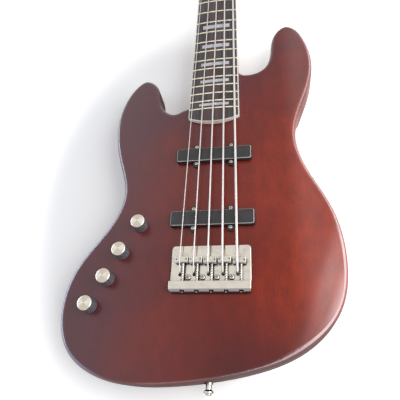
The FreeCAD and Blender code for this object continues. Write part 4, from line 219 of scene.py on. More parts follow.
    band_width: length("Band width", "Width of the broad bands in the body wood", 0.016)
    pore_width: length("Pore width", "Width of the pores in the woods", 0.0007)
    streak_width: length("Streak width", "Width of the streaks in the fingerboard", 0.0035)
    cloud_width: length("Cloud width", "Width of the clouds in the position blocks", 0.006)
    smudge_width: length("Smudge width", "Width of the smudges on the plating", 0.009)
    # Reach of the painted corner shade
    corner_shade_reach: length("Dirt reach", "How far dirt reaches out of plated corners", 0.0045)
    winding_pitch: length("Winding pitch", "Distance between the turns of a winding", 0.0005)
    wire_pitch: length("Wire pitch", "Distance between the wires of a coil", 0.00035)
    knurl_count: count("Knurl count", "Ridges round a knob", 44, 8)
    spun_pitch: length("Spun pitch", "Distance between the rings on a knob's top", 0.0006)
    set_screw_drop: length("Set screw drop", "Set screw's distance below the top", 0.0044)
    set_screw_size: length("Set screw size", "Diameter of a set screw", 0.0030)
    cell_width: length("Cell width", "Width of the cells of the foam", 0.0012)
    track_width: length("Track width", "Distance between tracks of the board", 0.0025)
    spring_coil: length("Spring coil", "Diameter of a spring, mid wire", 0.0037)
    spring_wire: length("Spring wire", "Diameter of a spring's wire", 0.00045)
    spring_turns: count("Spring turns", "Turns of a spring", 7, 3)
    spring_gap: length("Spring gap", "Room left at a spring's end", 0.00015)
    screw_height: length("Screw height", "Intonation screws over the body's back", 0.0474)
    saddle_break: length("Saddle break", "From a saddle's back to its string's bend", 0.0016)
    string_hole: length("String hole", "From the bridge line back to the holes", 0.018)
    string_reach: length("String reach", "String that gives way to its saddle", 0.070)
    winding_reach: length("Winding reach", "Winding's reach from its post's middle", 0.009)
    winding_lead: length("Winding lead", "String that gives way to its post", 0.018)
    foam_round: length("Foam rounding", "Rounding of the edges of the foam", 0.0016)
    foam_bulge: length("Foam bulge", "How far the foam swells at half height", 0.0009)


class BassStage(bpy.types.PropertyGroup):
    """The floor, the light and the camera."""

    floor_reach: length("Floor reach", "Half the width of the floor", 4.0)
    floor_white: colour("Floor white", "Pale floor", (0.83, 0.83, 0.83))
    # The floor's lift is smaller near the body, a painted shade round the bass
    floor_lift: factor("Floor lift", "Added to the floor where it is looked at", 0.31)
    floor_fade: factor("Floor fade", "Added further from the bass", 0.68)
    fade_start: number("Fade start", "Where the floor starts to turn white, in half widths of the body",
                       0.95, min=0.0)
    fade_end: number("Fade end", "Where the floor is white, in half widths of the body", 1.35, min=0.0)
    fade_shift: number("Fade shift", "How far the shaded floor lies towards the bass side, in half widths",
                       -0.35)
    room_light: number("Room light", "Strength of the light from all round", 0.20, min=0.0)
    room_white: colour("Room white", "What is seen beyond the floor", WHITE)
    lamp_target: point("Lamp target", "Point that the lamps face", (0.0, 0.09, 0.03))
    __annotations__.update(lamp("softbox", 1.20, 1.40, 17.2, (1.00, -0.04, 0.80), WHITE))
    __annotations__.update(lamp("window", 1.30, 0.28, 7.6, (-1.25, 0.30, 0.32), (0.74, 0.79, 1.0)))
    __annotations__.update(lamp("white_card", 1.20, 0.50, 6.0, (1.20, 0.85, 0.30), WHITE))
    __annotations__.update(lamp("pale_wall", 1.20, 0.40, 5.0, (0.15, -1.30, 0.32), WHITE))
    eye_place: point("Camera place", "Where the camera stands", (0.07597, -0.15003, 0.48923))
    eye_turn: FloatVectorProperty(
        name="Camera turn", description="How the camera is turned", subtype="EULER", unit="ROTATION",
        default=(math.radians(26.876), math.radians(10.205), math.radians(2.36)), size=3)
    eye_lens: number("Lens", "Focal length on a 36 mm sensor", 37.08, min=1.0, unit="CAMERA")


# Node building

class Nodes:
    """A shader tree under construction."""

    def __init__(self, tree):
        self.tree = tree

    def feed(self, target, source):
        """Link a socket into another, or set the other to a plain value."""
        if isinstance(source, bpy.types.NodeSocket):
            self.tree.links.new(source, target)
        elif target.type == "RGBA" and len(source) == 3:
            target.default_value = (*source, 1.0)
        else:
            target.default_value = source

    def add(self, kind, inputs=None, **settings):
        """A new node with its settings and with what its sockets are fed."""
        made = self.tree.nodes.new(kind)
        for key, value in settings.items():
            setattr(made, key, value)
        for key, value in (inputs or {}).items():
            self.feed(made.inputs[key], value)
        return made

    def placed(self, group, **values):
        """A group placed in this tree with values of its own; underscores stand for spaces."""
        inputs = {key.replace("_", " "): value for key, value in values.items()}
        return self.add("ShaderNodeGroup", inputs, node_tree=group).outputs

    def noise(self, vector, scale, detail=3.0, roughness=0.55):
        """Soft noise from a vector."""
        inputs = {"Vector": vector, "Scale": scale, "Detail": detail, "Roughness": roughness}
        return self.add("ShaderNodeTexNoise", inputs).outputs[0]

    def vectors(self, operation, first, second):
        """The outputs of one sum of two vectors."""
        return self.add("ShaderNodeVectorMath", {0: first, 1: second}, operation=operation).outputs

    def stretched(self, vector, scales):
        """A vector times a scale of its own on each axis."""
        return self.vectors("MULTIPLY", vector, scales)[0]

    def parts(self, vector):
        """The three parts of a vector."""
        return self.add("ShaderNodeSeparateXYZ", {0: vector}).outputs

    def maths(self, operation, first, second=0.0):
        """One sum of two values."""
        return self.add("ShaderNodeMath", {0: first, 1: second}, operation=operation).outputs[0]

    def times(self, first, *others):
        """Values multiplied, one after the other."""
        for other in others:
            first = self.maths("MULTIPLY", first, other)
        return first

    def plus(self, first, second):
        """Two values added."""
        return self.maths("ADD", first, second)

    def minus(self, first, second):
        """A value less another."""
        return self.maths("SUBTRACT", first, second)

    def unsigned(self, value):
        """The size of a value, whatever its sign."""
        return self.maths("ABSOLUTE", value)

    def spread(self, value, low, high, to_low=0.0, to_high=1.0):
        """A value spread smoothly from one range to another."""
        inputs = dict(enumerate((value, low, high, to_low, to_high)))
        return self.add("ShaderNodeMapRange", inputs, interpolation_type="SMOOTHSTEP").outputs[0]

    def falling(self, value, low, high):
        """One below a range, nothing above it."""
        return self.spread(value, low, high, 1.0, 0.0)

    def band(self, value, low, full, wane, high):
        """Nothing outside a range and one in the middle of it."""
        return self.times(self.spread(value, low, full), self.falling(value, wane, high))

    def blended(self, share, first, second):
        """Two colours blended by a share."""
        return self.add("ShaderNodeMix", {0: share, 6: first, 7: second}, data_type="RGBA").outputs[2]


class Finish(Nodes):
    """A material under construction: its shader and the coordinates that ride with the piece."""

    def __init__(self, name):
        self.material = bpy.data.materials.new(name)
        self.material.use_nodes = True
        super().__init__(self.material.node_tree)
        self.tree.nodes.clear()
        self.shader = self.add("ShaderNodeBsdfPrincipled")
        self.end = self.add("ShaderNodeOutputMaterial", {0: self.shader.outputs[0]})
        self.places = self.add("ShaderNodeTexCoord").outputs
        self.place = self.places["Object"]

    def lean(self):
        """The three parts of the way the surface faces."""
        return self.parts(self.places["Normal"])

    def worn_metal(self, bright, dull, polish, dullness, smudge_scale):
        """The shared look of handled metal, in two tones."""
        return self.placed(handled_metal_group(), Vector=self.place, Smudge_Scale=smudge_scale,
                           Polish=polish, Dullness=dullness, Bright=bright, Dull=dull)

    def moulded(self, ground, rubbed, smooth, rough, grain_scale):
        """The shared look of moulded plastic, in two tones."""
        return self.placed(moulded_group(), Vector=self.place, Grain_Scale=grain_scale, Smooth=smooth,
                           Rough=rough, Ground=ground, Rubbed=rubbed)

    def ridges(self, way, pitch, distortion):
        """Fine even ridges along an axis."""
        inputs = {"Vector": self.place, "Scale": 2 * math.pi / (WAVE_TURN * pitch), "Distortion": distortion}
        return self.add("ShaderNodeTexWave", inputs, wave_type="BANDS", bands_direction=way,
                        wave_profile="SIN").outputs["Fac"]

    def relief(self, height, strength, depth):
        """Let a height raise and sink the surface."""
        bump = self.add("ShaderNodeBump", {"Strength": strength, "Distance": depth, "Height": height})
        self.feed(self.shader.inputs["Normal"], bump.outputs[0])

    def shade(self, **values):
        """Feed the shader's sockets and hand the material over; underscores stand for spaces."""
        for key, value in values.items():
            self.feed(self.shader.inputs[key.replace("_", " ")], value)
        return self.material


def shared_group(name, inputs, outputs, fill):
    """A node group with named sockets, made and filled once."""
    group = bpy.data.node_groups.get(name)
    if group is None:
        group = bpy.data.node_groups.new(name, "ShaderNodeTree")
        for label, kind, default in inputs:
            socket = group.interface.new_socket(label, in_out="INPUT", socket_type="NodeSocket" + kind)
            if default is not None:
                socket.default_value = default
        for label, kind in outputs:
            group.interface.new_socket(label, in_out="OUTPUT", socket_type="NodeSocket" + kind)
        nodes = Nodes(group)
        wanted = nodes.add("NodeGroupOutput").inputs
        for label, source in fill(nodes, nodes.add("NodeGroupInput").outputs).items():
            nodes.feed(wanted[label], source)
    return group


def grain_group():
    """Wood grain along the neck: broad bands, fine streaks and open pores."""
    def fill(nodes, given):
        drift = nodes.noise(given["Vector"], 7.0, 2.0)
        shift = nodes.times(nodes.minus(drift, 0.5), given["Wander"])
        x, y, z = nodes.parts(given["Vector"])
        bent = nodes.add("ShaderNodeCombineXYZ", {
            0: nodes.plus(x, shift), 1: nodes.times(y, given["Stretch"]), 2: nodes.plus(z, shift)}).outputs[0]
        bands = nodes.noise(bent, given["Band Scale"], 2.5, 0.5)
        fine = nodes.noise(bent, nodes.times(given["Band Scale"], 9.0), 3.0, 0.6)
        streak = nodes.plus(nodes.times(bands, 0.62), nodes.times(fine, 0.38))
        streak = nodes.spread(streak, 0.36, 0.64)
        pore = nodes.spread(nodes.noise(bent, given["Pore Scale"], 1.0, 0.4), 0.60, 0.70)
        pore = nodes.times(pore, given["Pores"])
        toned = nodes.blended(streak, given["Dark"], given["Pale"])
        return {"Colour": nodes.blended(pore, toned, given["Pore Colour"]), "Streak": streak,
                "Height": nodes.minus(nodes.times(fine, 0.3), pore)}

    return shared_group(
        "Long Grain",
        [("Vector", "Vector", None), ("Band Scale", "Float", 60.0), ("Pore Scale", "Float", 1400.0),
         ("Stretch", "Float", 0.05), ("Wander", "Float", 0.01), ("Pores", "Float", 0.5),
         ("Pale", "Color", (1, 1, 1, 1)), ("Dark", "Color", (0, 0, 0, 1)),
         ("Pore Colour", "Color", (0, 0, 0, 1))],
        [("Colour", "Color"), ("Streak", "Float"), ("Height", "Float")], fill)


def handled_metal_group():
    """Polish with smudges, fine scratches and dull patches."""
    def fill(nodes, given):
        smudge = nodes.noise(given["Vector"], given["Smudge Scale"], 4.0, 0.6)
        crossed = nodes.stretched(given["Vector"], (1.0, 0.06, 0.4))
        scratch = nodes.noise(crossed, nodes.times(given["Smudge Scale"], 40.0), 2.0, 0.5)
        scratch = nodes.spread(scratch, 0.64, 0.74)
        worn = nodes.maths("MAXIMUM", nodes.spread(smudge, 0.42, 0.72), nodes.times(scratch, 0.35))
        span = nodes.minus(given["Dullness"], given["Polish"])
        return {"Roughness": nodes.plus(given["Polish"], nodes.times(worn, span)),
                "Colour": nodes.blended(nodes.times(worn, 0.6), given["Bright"], given["Dull"]),
                "Height": scratch}

    return shared_group(
        "Handled Metal",
        [("Vector", "Vector", None), ("Smudge Scale", "Float", 110.0), ("Polish", "Float", 0.06),
         ("Dullness", "Float", 0.16), ("Bright", "Color", (1, 1, 1, 1)),
         ("Dull", "Color", (0.5, 0.5, 0.5, 1))],
        [("Colour", "Color"), ("Roughness", "Float"), ("Height", "Float")], fill)


def moulded_group():
    """Moulded plastic: a fine pebbled grain with rubbed patches."""
    def fill(nodes, given):
        pebble = nodes.noise(given["Vector"], given["Grain Scale"], 2.0, 0.6)
        patch = nodes.spread(nodes.noise(given["Vector"], 45.0, 4.0, 0.6), 0.40, 0.70)
        span = nodes.minus(given["Rough"], given["Smooth"])
        mixed = nodes.plus(nodes.times(patch, 0.6), nodes.times(pebble, 0.4))
        return {"Roughness": nodes.plus(given["Smooth"], nodes.times(patch, span)),
                "Colour": nodes.blended(mixed, given["Ground"], given["Rubbed"]), "Height": pebble}

    return shared_group(
        "Moulded Plastic",
        [("Vector", "Vector", None), ("Grain Scale", "Float", 1800.0), ("Smooth", "Float", 0.3),
         ("Rough", "Float", 0.45), ("Ground", "Color", (0, 0, 0, 1)),
         ("Rubbed", "Color", (0.1, 0.1, 0.1, 1))],
        [("Colour", "Color"), ("Roughness", "Float"), ("Height", "Float")], fill)


# Finishes

def satin_mahogany(kit):
    """Satin red stain on the body, dark in the pores, with painted light and shade: partly painted light by
    the forearm contour, partly painted shade to the treble side, up the neck and at the tail, painted shade
    on the rim and sides, and painted highlights on the tail's edges.
    """
    mat = Finish("satin_mahogany")
    x, y = mat.parts(mat.place)[:2]
    # The stain across the slab, in metres from the string line, is partly painted light and shade: darker to
    # the treble side and further up the neck, brighter by the forearm contour on the side the lamps light
    cloud = mat.minus(mat.noise(mat.place, 16.0, 5.0, 0.6), 0.5)
    neckward_painted_shade = mat.spread(y, 0.10, 0.32, 0.0, 0.16)
    side = mat.minus(mat.plus(x, mat.times(cloud, 0.16)), neckward_painted_shade)
    stain = mat.blended(mat.spread(side, -0.17, 0.01), kit.body_plum_painted_shade, kit.body_red)
    stain = mat.blended(mat.spread(side, 0.02, 0.13), stain, kit.body_glow_painted_light)
    # Darker towards the tail: partly stain, partly painted shade
    tail = mat.times(mat.spread(y, -0.125, -0.020, 0.74, 0.0), mat.spread(x, -0.06, 0.03))
    stain = mat.blended(tail, stain, kit.body_tail_painted_shade)
    mottle = mat.noise(mat.stretched(mat.place, (1.0, 0.6, 1.0)), 75.0, 6.0, 0.65)
    blotch = mat.spread(mottle, 0.35, 0.68, 0.0, 0.70)
    stain = mat.blended(blotch, stain, mat.blended(0.45, stain, kit.body_pores))
    grain = mat.placed(grain_group(), Vector=mat.place, Band_Scale=1.0 / kit.band_width,
                       Pore_Scale=1.0 / kit.pore_width, Stretch=0.045, Wander=0.02, Pores=0.34,
                       Pale=stain, Dark=mat.blended(0.14, stain, kit.body_pores),
                       Pore_Colour=kit.body_pores)
    # Painted shade on the rim and the sides, apart from the side wall of the bass bout, which faces the lamps
    # and is left lit
    lean = mat.lean()
    facing = mat.unsigned(lean[2])
    lit_bass_wall = mat.times(mat.spread(lean[0], 0.05, 0.45), mat.spread(x, 0.02, 0.08),
                          mat.spread(lean[1], -0.55, -0.20))
    except_lit_wall = mat.spread(lit_bass_wall, 0.0, 1.0, 1.0, 0.15)
    rim_painted_shade = mat.times(mat.spread(facing, 0.30, 0.97, 0.88, 0.0), except_lit_wall)
    stain_with_painted_light = mat.blended(rim_painted_shade, grain["Colour"], kit.body_rim_painted_shade)
    # Painted highlights along the edges of the tail half: pink on the bass side, blue on the treble side
    highlight_band = mat.times(mat.band(facing, 0.70, 0.80, 0.90, 0.97), mat.spread(y, 0.02, 0.10, 0.55, 0.0))
    highlight_bass = mat.times(highlight_band, mat.spread(lean[0], 0.12, 0.30))
    highlight_treble = mat.times(highlight_band, mat.falling(lean[0], -0.30, -0.12))
    stain_with_painted_light = mat.blended(highlight_bass, stain_with_painted_light, kit.edge_painted_highlight_pink)
    stain_with_painted_light = mat.blended(highlight_treble, stain_with_painted_light, kit.edge_painted_highlight_blue)
    edge = mat.times(mat.band(facing, 0.35, 0.60, 0.93, 0.995),
                     mat.spread(mat.unsigned(lean[0]), 0.06, 0.22))
    # The gloss: hands and the forearm rub the satin bright
    satin = mat.spread(mat.noise(mat.place, 38.0, 4.0), 0.35, 0.65, 0.30, 0.36)
    matt = mat.times(mat.spread(facing, 0.15, 0.55, 0.30, 0.0), except_lit_wall)
    arm_rub = mat.times(mat.spread(x, 0.088, 0.118, 0.0, 0.9), mat.spread(x, 0.12, 0.15, 1.0, 0.4))
    arm_rub = mat.times(arm_rub, mat.spread(y, -0.08, -0.01, 0.10, 1.0))
    rubbed = mat.plus(mat.spread(x, -0.17, 0.06, 1.0, 0.10), arm_rub)
    rubbed = mat.plus(rubbed, mat.spread(y, -0.02, 0.08, 0.0, 0.20))
    rubbed = mat.times(rubbed, mat.spread(facing, 0.3, 0.8))
    mat.relief(grain["Height"], 0.08, 0.00012)
    return mat.shade(Base_Color=stain_with_painted_light, Roughness=mat.minus(mat.plus(satin, matt), mat.times(edge, 0.15)),
                     Coat_Weight=mat.maths("MAXIMUM", rubbed, mat.times(edge, 0.85)),
                     Coat_Roughness=0.24, Specular_IOR_Level=0.30)


def satin_maple(kit):
    """Satin amber maple of the neck and the headstock."""
    mat = Finish("satin_maple")
    grain = mat.placed(grain_group(), Vector=mat.place, Band_Scale=1.5 / kit.band_width,
                       Pore_Scale=0.7 / kit.pore_width, Stretch=0.07, Wander=0.03, Pores=0.30,
                       Pale=kit.maple_pale, Dark=kit.maple_dark, Pore_Colour=kit.maple_fleck)
    mat.relief(grain["Height"], 0.10, 0.0001)
    return mat.shade(Base_Color=grain["Colour"], Roughness=mat.spread(grain["Streak"], 0.0, 1.0, 0.40, 0.33),
                     Coat_Weight=0.25, Coat_Roughness=0.25)


def oiled_rosewood(kit):
    """Oiled dark fingerboard with a warm heart, pale streaks and open pores."""
    mat = Finish("oiled_rosewood")
    low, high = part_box("fingerboard")
    width = high.x - low.x
    heart = mat.spread(mat.unsigned(mat.parts(mat.place)[0]), 0.10 * width, 0.36 * width, 1.0, 0.10)
    long_way = mat.stretched(mat.place, (1.0, 0.25, 1.0))
    warm = mat.spread(mat.noise(long_way, 0.35 / kit.streak_width, 3.0), 0.38, 0.58)
    dark = mat.blended(mat.times(warm, heart), kit.board_dark, kit.board_red)
    grain = mat.placed(grain_group(), Vector=mat.place, Band_Scale=1.0 / kit.streak_width,
                       Pore_Scale=0.8 / kit.pore_width, Stretch=0.035, Wander=0.006, Pores=0.8,
                       Pale=kit.board_pale, Dark=dark, Pore_Colour=kit.board_pores)
    mat.relief(grain["Height"], 0.25, 0.00015)
    return mat.shade(Base_Color=grain["Colour"], Roughness=mat.spread(grain["Streak"], 0.0, 1.0, 0.50, 0.40))


def cream_binding(kit):
    """Polished cream strip, yellowed here and there."""
    mat = Finish("cream_binding")
    age = mat.spread(mat.noise(mat.stretched(mat.place, (1.0, 0.2, 1.0)), 40.0, 4.0), 0.35, 0.75)
    mat.relief(mat.noise(mat.place, 900.0, 2.0), 0.05, 0.0001)
    return mat.shade(Base_Color=mat.blended(age, kit.binding_cream, kit.binding_aged),
                     Roughness=mat.spread(mat.noise(mat.place, 300.0), 0.3, 0.7, 0.20, 0.34))


def pearl_blocks(kit):
    """Clouded pearl of the position blocks."""
    mat = Finish("pearl_blocks")
    warp = mat.add("ShaderNodeTexNoise", {"Vector": mat.place, "Scale": 0.7 / kit.cloud_width})
    sway = mat.stretched(warp.outputs[1], (0.006, 0.006, 0.006))
    moved = mat.vectors("ADD", mat.place, sway)[0]
    cloud = mat.spread(mat.noise(moved, 1.0 / kit.cloud_width, 5.0, 0.6), 0.36, 0.66)
    mat.relief(cloud, 0.05, 0.0002)
    return mat.shade(Base_Color=mat.blended(cloud, kit.pearl_lilac, kit.pearl_white),
                     Roughness=mat.spread(cloud, 0.0, 1.0, 0.30, 0.18))


def polished_bone(kit):
    """Polished bone of the nut."""
    mat = Finish("polished_bone")
    streak = mat.spread(mat.noise(mat.stretched(mat.place, (0.1, 1.0, 1.0)), 900.0, 3.0), 0.45, 0.75)
    mat.relief(streak, 0.06, 0.0001)
    return mat.shade(Base_Color=mat.blended(streak, kit.bone_pale, kit.bone_dark),
                     Roughness=mat.spread(streak, 0.0, 1.0, 0.28, 0.40))


def metal(name, bright, dull, polish, dullness, smudge_scale):
    """A handled metal of two tones."""
    mat = Finish(name)
    worn = mat.worn_metal(bright, dull, polish, dullness, smudge_scale)
    mat.relief(worn["Height"], 0.04, 0.00005)
    return mat.shade(Base_Color=worn["Colour"], Roughness=worn["Roughness"], Metallic=1.0)


def bare_steel(kit):
    """Bare steel of the rods and pots; one material for them all."""
    return bpy.data.materials.get("bare_steel") or metal(
        "bare_steel", kit.steel_bright, kit.steel_dull, 0.24, 0.42, 1.4 / kit.smudge_width)


def spring_steel(kit):
    """Dark oiled wire of the intonation springs."""
    return metal("spring_steel", kit.spring_grey, kit.spring_dark, 0.40, 0.55,
                 2.0 / kit.smudge_width)


def fret_wire(kit):
    """Pale gold fret wire with a little tarnish."""
    return metal("fret_wire", kit.fret_pale, kit.fret_dull, 0.16, 0.30, 3.0 / kit.smudge_width)


def plated(kit):
    """Bright plating of the bridge, tuners and screws, with painted shade on upright sides, painted light on
    the upper faces towards the tail and painted shade in the corners; one material.
    """
    if "bright_plating" in bpy.data.materials:
        return bpy.data.materials["bright_plating"]
    mat = Finish("bright_plating")
    worn = mat.worn_metal(kit.plate_bright, kit.plate_dull, 0.07, 0.16, 1.0 / kit.smudge_width)
    lean = mat.lean()
    flat = mat.spread(mat.unsigned(lean[2]), 0.55, 0.985)
    low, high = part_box("bridge_plate")
    tall = high.z - low.z
    # Painted light on the upper part of faces towards the tail, painted shade on the other upright faces
    lit = mat.spread(mat.parts(mat.place)[2], low.z + 0.35 * tall, low.z + 0.70 * tall)
    tailward = mat.times(mat.falling(lean[1], -0.97, -0.80), lit)
    sides = mat.blended(tailward, kit.plate_side_painted_shade, kit.plate_tail_painted_light)
    metal_with_painted_sides = mat.blended(flat, sides, worn["Colour"])
    # Painted shade in the corners, from ambient occlusion
    corner = mat.add("ShaderNodeAmbientOcclusion", {"Distance": kit.corner_shade_reach}, samples=8)
    corner_shade = mat.falling(corner.outputs["AO"], 0.35, 0.90)
    mat.relief(worn["Height"], 0.03, 0.00005)
    return mat.shade(Base_Color=mat.blended(corner_shade, metal_with_painted_sides, kit.plate_corner_painted_shade), Roughness=worn["Roughness"],
                     Metallic=mat.spread(tailward, 0.0, 1.0, 1.0, 0.25))


def knob_plating(kit, name):
    """A knob: a spun bright top with a painted bow-tie highlight, knurled dark sides with painted highlights
    on the ridges, and a black set screw.
    """
    mat = Finish("knob_plating_" + name)
    low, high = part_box(name + "_knob")
    from_top = mat.vectors("SUBTRACT", mat.place, ((low.x + high.x) / 2, (low.y + high.y) / 2, high.z))[0]
    x, y = mat.parts(from_top)[:2]
    turn = mat.maths("ARCTAN2", y, x)
    knurl = mat.spread(mat.maths("SINE", mat.times(turn, float(kit.knurl_count))), -0.6, 0.6)
    # Painted bow-tie highlight across the spun top
    bow_tie_highlight = mat.spread(mat.maths("COSINE", mat.times(turn, 2.0)), -0.7, 0.9)
    distance = mat.maths("SQRT", mat.plus(mat.times(x, x), mat.times(y, y)))
    rings = mat.maths("SINE", mat.times(distance, 2.0 * math.pi / kit.spun_pitch))
    flat = mat.spread(mat.lean()[2], 0.45, 0.80)
    worn = mat.worn_metal(kit.spun_bright_painted_highlight, kit.spun_dull_and_painted_shade, 0.10, 0.20, 1.0 / kit.smudge_width)
    top = mat.blended(bow_tie_highlight, kit.spun_dull_and_painted_shade, worn["Colour"])
    # Painted highlights on the knurl ridges
    side = mat.blended(knurl, kit.knurl_dark, kit.knurl_painted_highlight)
    reach = (high.x - low.x) / 2 * math.sqrt(0.5)
    hole = mat.vectors("DISTANCE", from_top, (reach, -reach, -kit.set_screw_drop))["Value"]
    sunk = mat.falling(hole, kit.set_screw_size * 0.45, kit.set_screw_size * 0.6)
    ridge = mat.times(knurl, mat.minus(1.0, flat))
    mat.relief(mat.plus(ridge, mat.times(rings, 0.03)), 0.5, 0.0002)
    return mat.shade(Base_Color=mat.blended(sunk, mat.blended(flat, side, top), kit.screw_dark),
                     Roughness=worn["Roughness"], Metallic=mat.spread(flat, 0.0, 1.0, 0.4, 1.0))


def wound_strings(kit):
    """Bright round winding: fine ridges across the string, with painted shade in the grooves and along the
    string's sides.
    """
    mat = Finish("wound_strings")
    crown = mat.ridges("Y", kit.winding_pitch, 0.0)
    worn = mat.worn_metal(kit.string_bright, kit.string_dull_and_groove_shade, 0.34, 0.42, 1.0 / kit.smudge_width)
    # Painted shade in the grooves of the winding and along the string's sides
    wound = mat.blended(mat.spread(crown, 0.0, 0.5, 0.15, 0.0), worn["Colour"], kit.string_dull_and_groove_shade)
    side_shade = mat.falling(mat.unsigned(mat.lean()[2]), 0.60, 0.97)
    mat.relief(crown, 0.02, 0.00006)
    return mat.shade(Base_Color=mat.blended(side_shade, wound, kit.string_flank_painted_shade),
                     Roughness=worn["Roughness"], Metallic=1.0)


def sheet_plastic(kit):
    """Grained black sheet of the control cover."""
    mat = Finish("control_cover_black")
    made = mat.moulded(kit.sheet_black, kit.sheet_grey, 0.42, 0.55, 1500.0)
    mat.relief(made["Height"], 0.12, 0.0001)
    return mat.shade(Base_Color=made["Colour"], Roughness=made["Roughness"])


def cover_plastic(kit):
    """Black pickup covers with painted highlights along their edges."""
    mat = Finish("pickup_cover_black")
    made = mat.moulded(kit.cover_black, kit.cover_grey, 0.26, 0.38, 2200.0)
    # Painted highlights along the cover's edges
    edge = mat.band(mat.lean()[2], 0.10, 0.45, 0.86, 0.99)
    mat.relief(made["Height"], 0.12, 0.00005)
    return mat.shade(Base_Color=mat.blended(edge, made["Colour"], kit.cover_edge_painted_highlight),
                     Roughness=mat.minus(made["Roughness"], mat.times(edge, 0.1)))


def coil_wire(kit):
    """Lacquered copper wire wound along the pickup."""
    mat = Finish("coil_wire")
    wire = mat.ridges("Z", kit.wire_pitch, 0.6)
    patch = mat.noise(mat.place, 160.0, 3.0)
    mat.relief(wire, 0.3, 0.0001)
    return mat.shade(Base_Color=mat.blended(mat.times(wire, patch), kit.coil_dark, kit.coil_bright),
                     Roughness=mat.spread(patch, 0.3, 0.7, 0.30, 0.45))


def open_foam(kit):
    """Open-cell foam: dark cells between paler webs."""
    mat = Finish("open_foam")
    cells = mat.add("ShaderNodeTexVoronoi", {"Vector": mat.place, "Scale": 1.0 / kit.cell_width},
                    feature="F1")
    web = mat.spread(cells.outputs["Distance"], 0.15, 0.65)
    mat.relief(web, 0.8, 0.0004)
    return mat.shade(Base_Color=mat.blended(web, kit.foam_dark, kit.foam_grey),
                     Roughness=mat.spread(web, 0.0, 1.0, 1.0, 0.85))


def battery_sleeve(kit):
    """Metal sleeve of the battery: a plain dark ground and one bare band, with no words."""
    mat = Finish("battery_sleeve")
    band = mat.spread(mat.parts(mat.places["Generated"])[1], 0.70, 0.74)
    rub = mat.noise(mat.place, 130.0, 4.0)
    ground = mat.blended(band, kit.sleeve_dark, kit.sleeve_gold)
    mat.relief(rub, 0.05, 0.0001)
    return mat.shade(Base_Color=mat.blended(mat.times(rub, 0.3), ground, kit.sleeve_rub),
                     Roughness=mat.spread(rub, 0.3, 0.7, 0.25, 0.45))


def lacquered_board(kit):
    """Green lacquer over copper tracks, with black parts standing on the board."""
    mat = Finish("lacquered_board")
    tracks = mat.add("ShaderNodeTexBrick", {
        "Vector": mat.place, "Scale": 0.4 / kit.track_width, "Color1": kit.board_green,
        "Color2": [part * 0.8 for part in kit.board_green], "Mortar": kit.track_green,
        "Mortar Size": 0.06}, offset=0.5)
    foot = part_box("preamp_board")[0].z + BOARD_THICKNESS
    chip = mat.spread(mat.parts(mat.place)[2], foot, foot + CHIP_STEP)
    mat.relief(tracks.outputs["Fac"], 0.1, 0.0001)
    return mat.shade(Base_Color=mat.blended(chip, tracks.outputs["Color"], kit.chip_black),
                     Roughness=mat.spread(mat.noise(mat.place, 700.0, 3.0), 0.3, 0.7, 0.22, 0.40))


# Pieces

def dress(material, *names):
    """Give CAD nodes a material through their objects' own slots."""
    for name in names:
        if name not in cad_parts:
            raise RuntimeError("the packed model has no node named " + name)
        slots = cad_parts[name].material_slots
        if not slots:
            raise RuntimeError(name + " has no material slot to dress")
        for slot in slots:
            slot.material = material


def each(prefix, names=STRING_NAMES, suffix=""):
    """The names of nodes that come once for each string, knob or pickup."""
    return [prefix + name + suffix for name in names]


def piece_from(name, mesh_source, material):
    """An object from an edited mesh, shaded smooth up to its creases, in a material."""
    mesh = bpy.data.meshes.new(name)
    mesh_source.to_mesh(mesh)
    mesh_source.free()
    mesh.shade_smooth()
    mesh.set_sharp_from_angle(angle=CREASE_ANGLE)
    mesh.materials.append(material)
    made = bpy.data.objects.new(name, mesh)
    bpy.context.scene.collection.objects.link(made)
    return made


def tube_mesh(points, radius, sides):
    """A closed round tube along points."""
    made = bmesh.new()
    rings = []
    turns = [2 * math.pi * side / sides for side in range(sides)]
    for here, spot in enumerate(points):
        way = (points[min(here + 1, len(points) - 1)] - points[max(here - 1, 0)]).normalized()
        first = way.cross(Vector((0, 1, 0)) if abs(way.y) < 0.9 else Vector((0, 0, 1))).normalized()
        second = way.cross(first)
        rings.append([made.verts.new(spot + radius * (math.cos(t) * first + math.sin(t) * second))
                      for t in turns])
    for one, two in zip(rings, rings[1:]):
        for side in range(sides):
            after = (side + 1) % sides
            made.faces.new((one[side], one[after], two[after], two[side]))
    made.faces.new(list(reversed(rings[0])))
    made.faces.new(rings[-1])
    bmesh.ops.recalc_face_normals(made, faces=made.faces)
    return made


def string_islands():
    """The strings of the CAD node, as sets of vertices, from the treble side to the bass side."""
    whole = bmesh.new()
    whole.from_mesh(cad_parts["strings"].data)
    bmesh.ops.remove_doubles(whole, verts=whole.verts, dist=WELD_DISTANCE)
    whole.verts.ensure_lookup_table()
    left, islands = set(range(len(whole.verts))), []
    while left:
        island, reach = set(), [left.pop()]
        while reach:
            here = reach.pop()
            island.add(here)
            for edge in whole.verts[here].link_edges:
                near = edge.other_vert(whole.verts[here]).index
                if near in left:
                    left.discard(near)
                    reach.append(near)
        islands.append(island)
    islands.sort(key=lambda island: min((whole.verts[v].co.y, whole.verts[v].co.x) for v in island)[1])
    if len(islands) != len(STRING_NAMES):
        raise RuntimeError("the strings node holds %d strings" % len(islands))
    return whole, islands


def even_places(start, reach, steps, first=1):
    """Places at even steps along a reach, from the first step on."""
    return [start + reach * step / steps for step in range(first, steps + 1)]


